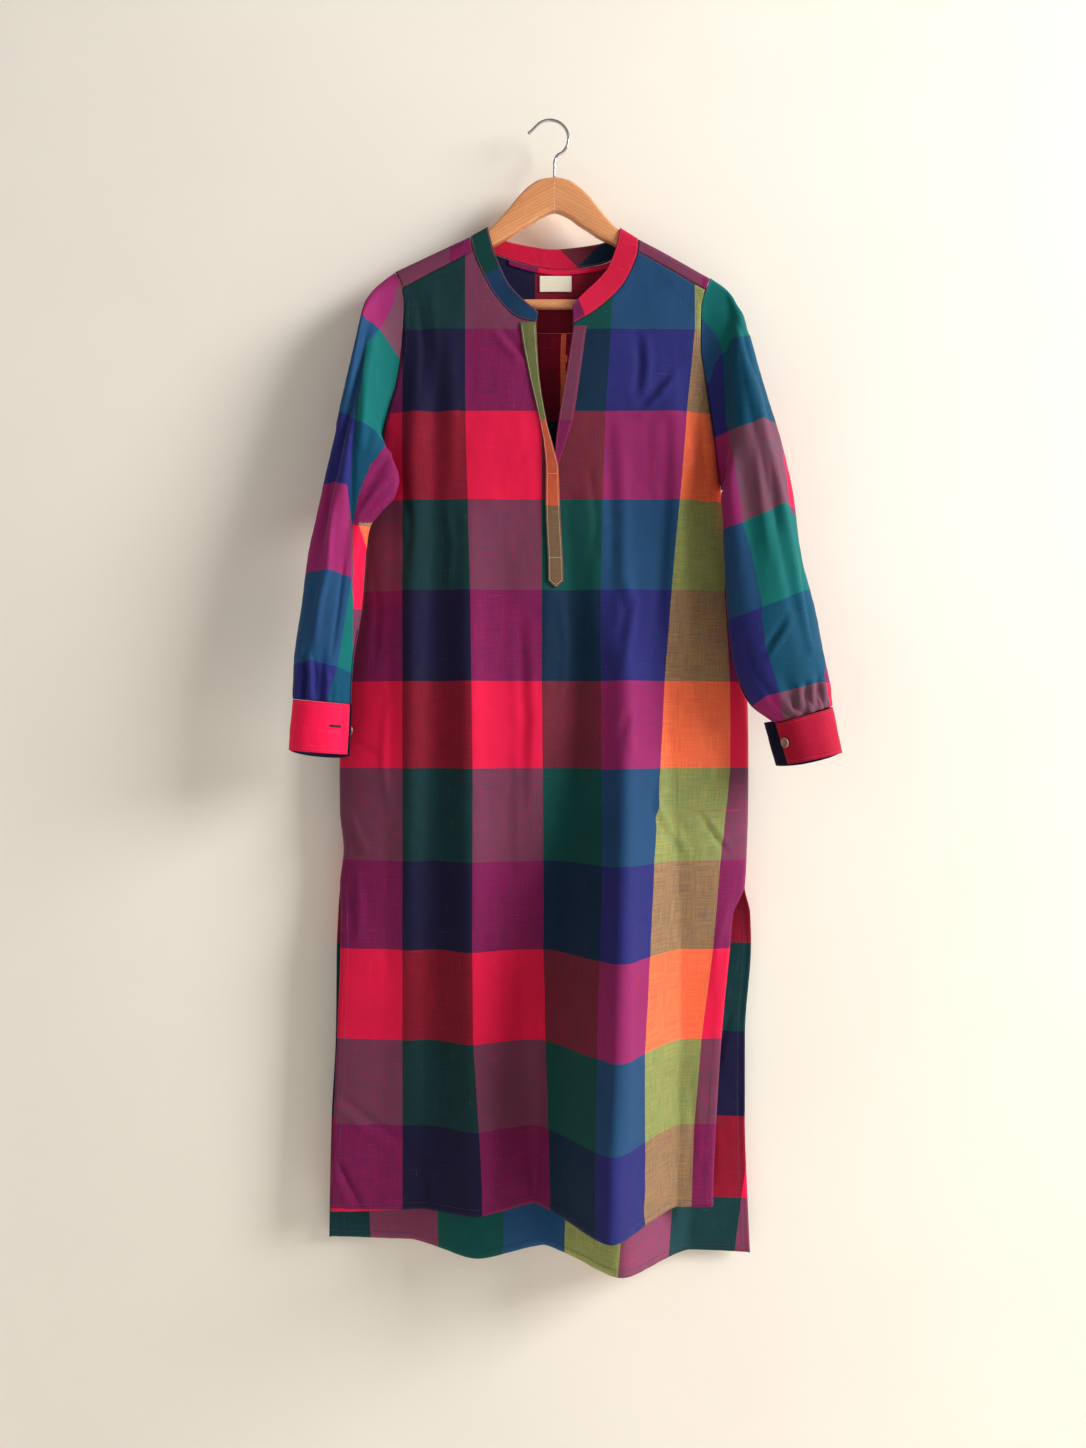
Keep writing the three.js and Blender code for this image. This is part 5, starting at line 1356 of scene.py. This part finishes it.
def build_sleeve(side):
    rings = sleeve_rows(side)
    turns = np.linspace(0, 1, 156, endpoint=False)
    ring, turn = np.meshgrid(rings, turns, indexing="ij")
    base = sleeve_point(side, ring, turn)
    n = facing(grid_normals(base, closed=True), base - sleeve_middle(SLEEVES[side](ring)))
    off = np.where(turn < 0.5, creases(*pixel(base), SLEEVE_CREASES[side]), 0)
    last = LAST_RING[side]
    # Gathers into the cuff, and soft creases behind that match the front's
    gathers = np.exp(-(((ring - last) / 0.5) ** 2)) * np.sin(2 * np.pi * turn * 21 + 2 * np.sin(9 * turn)) * 0.7
    long_folds = np.sin(2 * np.pi * (turn * 4 + 0.12 * ring)) * np.sin(np.pi * ring / last)
    off = off + gathers + np.where(turn > 0.5, long_folds, 0.35 * long_folds)
    off = off + 0.6 * rumple(base * [1, 1, 0.45], 26, 21 + len(side)) + 0.3 * rumple(base, 11, 24 + len(side))
    off = off * smooth(ring / 0.5) * smooth((last - ring) / 0.12 + 0.1)
    slit_edge = np.minimum(np.abs(turn - SLIT_TURNS[0]), np.abs(turn - SLIT_TURNS[1])) * 150
    off = off * np.where(ring > last - 2, smooth(slit_edge / 5 + 0.2), 1)
    p = base + n * off[..., None]
    u, v = sleeve_uv(side, turn, base)

    def skip(r, c):
        ring_mid = (rings[r] + rings[r + 1]) / 2
        turn_mid = turns[c] + 0.5 / len(turns)
        return (turn_mid > SLIT_TURNS[0]) & (turn_mid < SLIT_TURNS[1]) & (ring_mid > last - SLIT_RINGS)

    def uv_at(r, c, face_r, face_c):
        # Across a seam the corner beyond it carries on from the near one
        corner_u = u[r, c]
        near = corner_u[:, :1]
        return np.where(np.abs(corner_u - near) > 0.45, near, corner_u), v[r, c]

    return sheet_object(f"{side}_sleeve_cloth", p, uv_at, cloth(f"sleeve_{side}"), closed=True, skip=skip)


# Cuffs
CUFF_TOP = {"left": 0.009, "right": 0.024}
CUFF_RED_TURN = {"left": 0.03, "right": -0.02}


def cuff_out(side, turn, down):
    n = normal_of(lambda a, b: cuff_point(side, a / 100, b / 100), turn * 100, down * 100, 1.0)
    wrong = (n[..., 1] > 0) != (turn < 0)
    return np.where(wrong[..., None], -n, n)


def build_cuff(side):
    turns = np.linspace(CUFFS[side]["start"], CUFF_END, 150)
    downs = np.linspace(CUFF_TOP[side], 1, 34)
    down, turn = np.meshgrid(downs, turns, indexing="ij")
    base = cuff_point(side, turn, down)
    out = base - [(base[..., 0].min() + base[..., 0].max()) / 2, SLEEVE_END_Y, 0]
    out[..., 2] = 0
    n = facing(grid_normals(base), out)
    along = turn * 200
    off = 0.45 * rumple(base, 20, 31 + len(side)) + 0.2 * rumple(base, 9, 33 + len(side))
    for line in (0.07, 0.94):
        off = off - (0.35 + 0.15 * np.sin(along / 1.3)) * np.exp(-(((down - line) / 0.025) ** 2))
    off = off * smooth(down / 0.06)
    p = base + n * off[..., None]
    red = CUFF_RED_TURN[side]

    def uv_at(r, c, face_r, face_c):
        front = np.broadcast_to(turns[face_c] * 0.5 + turns[face_c + 1] * 0.5 > red, c.shape)
        t, d = turn[r, c], down[r, c]
        return (np.where(front, 2.06 + 0.9 * (t - red), 1.94 + 0.9 * (t - red)),
                np.where(front, 2.08 + 0.6 * d, 1.45 + 0.5 * d))

    return sheet_object(f"{side}_cuff_cloth", p, uv_at, cloth(f"cuff_{side}"), thickness=1.5), p, n, turn


# Buttons
HOLE_RADIUS, HOLE_SPACING, BUTTON_SEAT, THREAD_HEIGHT = 0.9, 1.9, 1.35, 2.15
BUTTON_PROFILE = numbers("""
    0 0, 4.6 0, 5.6 0.15, 6.1 0.6, 6.2 1.3, 6.05 2.1, 5.6 2.55, 5 2.6, 4.5 2.4, 4.1 2.05, 3.4 1.95, 0 1.95""")


def build_button(side):
    """A turned disc with a raised rim, a dished face and four holes."""
    bm = bmesh.new()
    steps = 64
    angles = [2 * math.pi * k / steps for k in range(steps)]
    rings = []
    for radius, height in BUTTON_PROFILE:
        around = angles if radius else angles[:1]
        rings.append([bm.verts.new((radius * math.cos(a), radius * math.sin(a), height)) for a in around])
    for a, b in zip(rings, rings[1:]):
        for k in range(steps):
            j = (k + 1) % steps
            if len(a) == 1:
                bm.faces.new((a[0], b[j], b[k]))
            elif len(b) == 1:
                bm.faces.new((a[k], a[j], b[0]))
            else:
                bm.faces.new((a[k], a[j], b[j], b[k]))
    bmesh.ops.recalc_face_normals(bm, faces=bm.faces)
    mesh = bpy.data.meshes.new(f"{side}_button_disc")
    bm.to_mesh(mesh)
    bm.free()
    disc = placed(f"{side}_button_disc", mesh)
    for x in (-1, 1):
        for y in (-1, 1):
            bpy.ops.mesh.primitive_cylinder_add(vertices=24, radius=HOLE_RADIUS, depth=9,
                                                location=(x * HOLE_SPACING, y * HOLE_SPACING, 1))
            cutter = bpy.context.object
            cut = disc.modifiers.new("hole", "BOOLEAN")
            cut.operation, cut.object, cut.solver = "DIFFERENCE", cutter, "EXACT"
            bpy.context.view_layer.objects.active = disc
            bpy.ops.object.modifier_apply(modifier=cut.name)
            bpy.data.objects.remove(cutter)
    turn, down = np.array(BUTTON_PLACES[side])
    out = cuff_out(side, turn, down)
    seat = cuff_point(side, turn, down) + out * BUTTON_SEAT
    turned = Vector(out).to_track_quat("Z", "Y").to_matrix().to_4x4()
    for vert in disc.data.vertices:
        vert.co = (turned @ vert.co + Vector(seat)) * MM
    disc.data.polygons.foreach_set("use_smooth", [True] * len(disc.data.polygons))
    disc.data.materials.append(horn_material)
    disc.data.update()
    smooth_by_angle(disc, 35)
    # Sewn through the four holes in two bars
    runs = []
    for y in (-1, 1):
        for shift in (-0.3, 0, 0.3):
            line = [turned @ Vector((x * HOLE_SPACING, y * HOLE_SPACING + shift, THREAD_HEIGHT)) for x in (-1, 0, 1)]
            runs.append((np.array(line) + seat, out))
    sewn = stitches(f"{side}_button_thread", runs, RED_THREAD, pitch=4.0, length=4.4, radius=0.26)
    return disc, sewn


def smooth_by_angle(obj, degrees):
    bpy.ops.object.select_all(action="DESELECT")
    obj.select_set(True)
    bpy.context.view_layer.objects.active = obj
    bpy.ops.object.shade_smooth_by_angle(angle=math.radians(degrees))
    return obj


# Hanger
ARM_HALF, BEVEL_IN, BEVEL_UP, ARM_LEFT, ARM_RIGHT = 7, 3.5, 4, -188, 196


def swept(name, rings, material):
    """Rings of points joined along a piece, with a flat face at each end."""
    count, width = rings.shape[:2]
    quads, _, _ = grid_faces(count, width, True)
    faces = [*quads, range(width), range(count * width - 1, (count - 1) * width - 1, -1)]
    obj = mesh_object(name, rings.reshape(-1, 3), faces, material=material)
    bm = bmesh.new()
    bm.from_mesh(obj.data)
    bmesh.ops.recalc_face_normals(bm, faces=bm.faces)
    bm.to_mesh(obj.data)
    bm.free()
    return obj


def build_arm(side):
    start = HANGER_X + (-0.15 if side == "left" else 0.15)
    ear = (-164.8, -165.2) if side == "left" else (173.6, 174)
    end = ARM_LEFT if side == "left" else ARM_RIGHT
    x = np.concatenate([np.linspace(start, ear[0], 78), np.linspace(ear[1], end, 14)])
    o = hanger_outline(x)
    rings = []
    for xi, top, bottom in zip(x, o["top"], o["bottom"]):
        angle = np.radians(np.linspace(-90, 90, 19))
        ring = [(xi, ARM_HALF * math.sin(a), -(top + ARM_HALF - ARM_HALF * math.cos(a))) for a in angle]
        for t in (0, 1 / 3, 2 / 3, 1):
            ring.append((xi, ARM_HALF - BEVEL_IN * t ** 1.5, BEVEL_UP - bottom - BEVEL_UP * math.sin(t * math.pi / 2)))
        ring += [(xi, -y, z) for _, y, z in ring[:-5:-1]]
        rings.append(ring)
    return smooth_by_angle(swept(f"{side}_hanger_arm", np.array(rings), wood_material), 40)


def build_bar():
    x = np.concatenate([[-164.4, -163.9], np.linspace(-163, 171.8, 60), [172.7, 173.2]])
    radius = np.full(len(x), 6.2)
    radius[[0, -1]], radius[[1, -2]] = 5.7, 6.05
    angle = np.linspace(0, 2 * np.pi, 48, endpoint=False)
    rings = np.stack([np.broadcast_to(x[:, None], (len(x), 48)), radius[:, None] * np.sin(angle),
                      -228.7 + radius[:, None] * np.cos(angle)], -1)
    return smooth_by_angle(swept("trouser_bar", rings, wood_material), 40)


def catmull(points, each):
    points = np.asarray(points, float)
    ends = np.vstack([2 * points[0] - points[1], points, 2 * points[-1] - points[-2]])
    out = []
    for i in range(len(points) - 1):
        p0, p1, p2, p3 = ends[i:i + 4]
        t = [0]
        for a, b in ((p0, p1), (p1, p2), (p2, p3)):
            t.append(t[-1] + np.linalg.norm(b - a) ** 0.5)
        for s in np.linspace(t[1], t[2], each, endpoint=i == len(points) - 2):
            a1 = (t[1] - s) / (t[1] - t[0]) * p0 + (s - t[0]) / (t[1] - t[0]) * p1
            a2 = (t[2] - s) / (t[2] - t[1]) * p1 + (s - t[1]) / (t[2] - t[1]) * p2
            a3 = (t[3] - s) / (t[3] - t[2]) * p2 + (s - t[2]) / (t[3] - t[2]) * p3
            b1 = (t[2] - s) / (t[2] - t[0]) * a1 + (s - t[0]) / (t[2] - t[0]) * a2
            b2 = (t[3] - s) / (t[3] - t[1]) * a2 + (s - t[1]) / (t[3] - t[1]) * a3
            out.append((t[2] - s) / (t[2] - t[1]) * b1 + (s - t[1]) / (t[2] - t[1]) * b2)
    return np.array(out)


def build_hook():
    wire, inner = 1.9, 21.2
    reach = inner + wire
    flat = [(5.6, 69.7), (5.6, 57), (6.0, 49)]
    bend = np.radians(range(-66, 139, 17))
    flat += [(reach * math.cos(a), inner - reach * math.sin(a)) for a in bend]
    flat += [(-22, 10.5), (-27.5, 15.5)]
    line = catmull(flat, 10)
    along = unit(np.gradient(line, axis=0))
    away = np.stack([along[:, 1], -along[:, 0]], -1)
    thick = np.full(len(line), wire)
    # The wire's end is dressed to a small round bulb
    left = np.linalg.norm(line - line[-1], axis=1)
    bulb = left < 4.4
    thick[bulb] = np.sqrt(np.maximum(2.3 ** 2 - (left[bulb] - 2.2) ** 2, 0.15))
    thick = np.maximum(thick, np.where(left < 2.2, 0.3, wire))
    angle = np.linspace(0, 2 * np.pi, 24, endpoint=False)
    rings = np.empty((len(line), 24, 3))
    for k, a in enumerate(angle):
        rings[:, k, 0] = line[:, 0] + away[:, 0] * thick * math.cos(a)
        rings[:, k, 1] = thick * math.sin(a)
        rings[:, k, 2] = -(line[:, 1] + away[:, 1] * thick * math.cos(a))
    return swept("wire_hook", rings, wire_material)


# Pieces
wood_material = beech("oiled_beech")
wire_material = chrome("polished_wire")
horn_material = horn("mottled_horn")
label_material = label_cloth("cream_label")


def sew(obj):
    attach(obj, "root")
    return obj


def dress(obj, node):
    sew(obj)
    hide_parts(node)
    return obj


front_panel = dress(build_front(), "front")
back_panel = dress(build_back(), "back")
shoulder_yoke = dress(build_yoke(), "yoke")
collar_obj, collar_points, collar_normals = build_collar()
dress(collar_obj, "collar_band")
over_surface = placket_surface(placket_over_edges, over_off)
over_drops = np.concatenate([np.linspace(PLACKET_TOP, POINT_FROM, 170), np.linspace(POINT_FROM + 0.6, POINT_TO, 14)])
over_obj, over_points, over_normals = build_placket(
    "placket_over_strip", "placket_over", over_surface, over_drops, over_uv, 41)
dress(over_obj, "placket_over")
under_surface = placket_surface(lambda drop: (slit_edges(drop)["right"], slit_edges(drop)["underRight"]),
                                lambda drop: LAYER + 0 * drop)
under_obj, under_points, under_normals = build_placket(
    "placket_under_strip", "placket_under", under_surface, np.linspace(UNDER_TOP, UNDER_END, 150), under_uv, 43)
dress(under_obj, "placket_under")
neck_binding = dress(build_neck_tape(), "neck_tape")
bare_label = dress(build_label(), "label")
pocket_lining = dress(build_pocket(), "pocket_bag")
sleeves, cuffs = {}, {}
for side in SIDES:
    sleeves[side] = dress(build_sleeve(side), f"sleeve_{side}")
    cuffs[side] = build_cuff(side)
    dress(cuffs[side][0], f"cuff_{side}")
    disc, sewn = build_button(side)
    dress(disc, f"button_{side}")
    sew(sewn)
    dress(build_arm(side), f"hanger_arm_{side}")
dress(build_bar(), "hanger_bar")
dress(build_hook(), "hanger_hook")


# Stitching along each seam and hem
HEM_UP, SLIT_IN, ARMHOLE_IN, HEM_MIDDLE_X, FINE = 8, 9.5, 5.5, -14, 0.2
TOWARDS_EYE, TOWARDS_WALL = [0, -1, 0], [0, 1, 0]


def line_on(surface, u, v, lift, front=True):
    """Points along a surface, lifted off its cloth, with their normals."""
    u, v = np.broadcast_arrays(np.asarray(u, float), np.asarray(v, float))
    n = towards_eye(normal_of(surface, u, v)) * (1 if front else -1)
    return surface(u, v) + n * (CLOTH / 2 + lift), n


def slit_line(surface, layer, side, hem, front=True):
    d = np.linspace(SLIT_TOP - 4, hem[side] - HEM_UP, 300)
    return line_on(surface, edge_x(layer, side, d) + INWARD[side] * SLIT_IN, d, 0.4, front)


def strip_runs(points, normals, columns, lift=0.62):
    return [(points[:, c] + normals[:, c] * lift, normals[:, c]) for c in columns]


runs = []
hem_t = np.linspace(0.005, 0.995, 400)
for side in SIDES:
    x = lerp(edge_x("front", side, FRONT_HEM[side]), HEM_MIDDLE_X, hem_t)
    runs.append(line_on(front_point, x, lerp(FRONT_HEM[side], FRONT_HEM["middle"], hem_t) - HEM_UP, 0.45))
    runs.append(slit_line(front_point, "front", side, FRONT_HEM))
sew(stitches("front_hem_stitching", runs, THREAD))

runs = []
x = lerp(float(edge_x("back", "left", BACK_HEM["left"])), float(edge_x("back", "right", BACK_HEM["right"])), hem_t)
for front_side in (True, False):
    runs.append(line_on(back_point, x, back_hem(hem_t) - HEM_UP, 0.4, front_side))
    runs += [slit_line(back_point, "back", side, BACK_HEM, front_side) for side in SIDES]
sew(stitches("back_hem_stitching", runs, THREAD))

# Pocket stitching through the front: down, round the corner and along
stitched_x, low, turn_t = POCKET["left"] + 3, POCKET["bottom"] - 10, np.linspace(0, np.pi / 2, 14)
runs = [line_on(front_point, *places, 0.15) for places in (
    (stitched_x, np.linspace(POCKET["top"] + 4, low, 120)),
    (stitched_x + 6 * (1 - np.cos(turn_t)), low + 6 * np.sin(turn_t)),
    (np.linspace(stitched_x + 6, 236, 90), low + 6))]
sew(stitches("pocket_stitching", runs, RED_THREAD, radius=FINE))

# Collar edges
runs = [(collar_points[line] + face * collar_normals[line] * 0.85, face * collar_normals[line])
        for line in (1, 15) for face in (1, -1)]
sew(stitches("collar_stitching", runs, RED_THREAD, radius=FINE))

# Plackets: their long edges, then the pointed foot and two lines across
rows = slice(2, -12)
runs = strip_runs(over_points[rows], over_normals[rows], (2, 16))
tip = np.array([over_surface(np.array(t), np.array(d)) for t, d in ((0.11, 577), (0.5, 583.2), (0.89, 577))])
runs.append((tip + [0, -0.7, 0], TOWARDS_EYE))
t = np.linspace(0.08, 0.92, 24)
for cross_py in (471, 556):
    drop = EYE_DROP + (cross_py - PHOTO_MIDDLE[1]) * PIXEL * 0.97
    runs.append((over_surface(t, drop + 0 * t) + [0, -0.7, 0], TOWARDS_EYE))
sew(stitches("over_placket_stitching", runs, PALE_THREAD, radius=FINE))
runs = strip_runs(under_points[3:-2], under_normals[3:-2], (2, 16))
sew(stitches("under_placket_stitching", runs, RED_THREAD, radius=FINE))

# Cuffs: a line near each edge, and the worked buttonhole on the left one
for side in SIDES:
    _, p, n, turn = cuffs[side]
    lines = strip_runs(p[:, 3:-3].swapaxes(0, 1), n[:, 3:-3].swapaxes(0, 1), (2, 31), 0.85)
    lines += strip_runs(p[3:-2], n[3:-2], (4, -5), 0.85)
    sew(stitches(f"{side}_cuff_stitching", lines, RED_THREAD, radius=FINE))
_, p, n, turn = cuffs["left"]
px, py = pixel(p)
row, col = np.unravel_index(np.argmin((px - 336) ** 2 + (py - 726.5) ** 2 + 1e4 * (turn < 0)), px.shape)
bar_n = n[row, col - 9:col + 10]
bar = p[row, col - 9:col + 10] + bar_n * 0.8
keep = np.linalg.norm(bar - bar[len(bar) // 2], axis=1) <= 8.0
runs = [(bar[keep] + [0, 0, shift], bar_n[keep]) for shift in (-1.1, 0, 1.1)]
sew(stitches("left_buttonhole", runs, DARK_THREAD, pitch=0.9, length=1.6, radius=0.5))

# The label is tacked at its two ends
d = np.linspace(LABEL["top"] + 1, LABEL["bottom"] - 1, 16)
runs = [(inside_yoke(x + 0 * d, d, INSIDE_LAYER + 0.75), TOWARDS_EYE)
        for x in (LABEL["left"] + 1.2, LABEL["right"] - 1.2)]
sew(stitches("label_stitching", runs, PALE_THREAD, pitch=2.2, length=1.6, radius=0.16))

# Armholes and the yoke's back seam
d = np.linspace(226, 455, 220)
runs = [line_on(front_point, edge_x("front", side, d) + INWARD[side] * ARMHOLE_IN, d, 0.15) for side in SIDES]
sew(stitches("armhole_stitching", runs, THREAD, radius=0.18))
x = np.linspace(-172, 180, 260)
p = yoke_point(x, YOKE_BOTTOM - 3 - yoke_ridge(x))
sew(stitches("yoke_stitching", [(p + [0, CLOTH / 2 + 0.3, 0], TOWARDS_WALL)], THREAD))


# Wall, floor and light
def plain(name, colour, see_through_behind=False):
    m = Nodes(name)
    where = m.here()
    cloud, fine = m.noise(where, 2.5, 3.0, 0.5), m.noise(where, 220.0, 2.0, 0.5)
    base = m.mix(m.span(cloud, 0.3, 0.7, 0.0, 1.0), rgb(*colour), rgb(*[c - 5 for c in colour]))
    m.finished(base, m.span(fine, 0.3, 0.7, 0.82, 0.92), (fine, 0.05, 0.0005), Specular_IOR_Level=0.2)
    if see_through_behind:
        both = m.add("ShaderNodeMixShader")
        sockets = (m.add("ShaderNodeNewGeometry").outputs["Backfacing"], m.shader.outputs[0],
                   m.add("ShaderNodeBsdfTransparent").outputs[0])
        for socket, value in zip(both.inputs, sockets):
            m.link(value, socket)
        m.link(both.outputs[0], m.tree.nodes["Material Output"].inputs["Surface"])
    return m.material


def plane(name, corners, material):
    mesh = bpy.data.meshes.new(name)
    mesh.from_pydata(corners, [], [(0, 1, 2, 3)])
    mesh.materials.append(material)
    obj = placed(name, mesh)
    obj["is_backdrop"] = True
    return obj


WALL_Y, FLOOR_Z = 0.035, -1.95
wall = plane("studio_wall", [(-6, WALL_Y, FLOOR_Z), (6, WALL_Y, FLOOR_Z), (6, WALL_Y, 3), (-6, WALL_Y, 3)],
             plain("pale_wall", (240, 234, 224), True))
# Lets the light behind reach the garment's back
wall.visible_shadow = False
plane("studio_floor", [(-6, -6, FLOOR_Z), (6, -6, FLOOR_Z), (6, 6, FLOOR_Z), (-6, 6, FLOOR_Z)],
      plain("pale_floor", (236, 231, 222)))


def area_light(name, place, target, size, power, colour=(1, 1, 1)):
    data = bpy.data.lights.new(name, "AREA")
    data.shape, data.size, data.energy, data.color = "SQUARE", size, power, colour
    lamp = placed(name, data)
    lamp.location = place
    lamp.rotation_euler = (Vector(target) - Vector(place)).to_track_quat("-Z", "Y").to_euler()


area_light("key", (3.6, -1.75, 0.9), (0, 0, -0.75), 1.7, 240, (1.0, 0.99, 0.98))
area_light("fill", (-2.0, -2.4, -0.2), (0, 0, -0.8), 2.4, 6, (1.0, 0.96, 0.9))
area_light("behind", (0.6, 2.6, 0.4), (0, 0, -0.7), 2.0, 50)
world = bpy.data.worlds.new("studio")
bpy.context.scene.world = world
world.use_nodes = True
sky = world.node_tree.nodes["Background"].inputs
sky["Color"].default_value, sky["Strength"].default_value = (1.0, 0.975, 0.945, 1), 0.3

eye = bpy.data.cameras.new("photo_view")
eye.lens, eye.sensor_width, eye.sensor_fit = 36 * EYE_AWAY / (PHOTO_H * PIXEL), 36, "AUTO"
eye.clip_start, eye.clip_end = 0.05, 30
camera = placed("photo_view", eye)
camera.location = (EYE_X * MM, -EYE_AWAY * MM, -EYE_DROP * MM)
camera.rotation_euler = (math.pi / 2, 0, 0)
bpy.context.scene.camera = camera
bpy.context.scene.view_settings.view_transform = "Standard"

low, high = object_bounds()
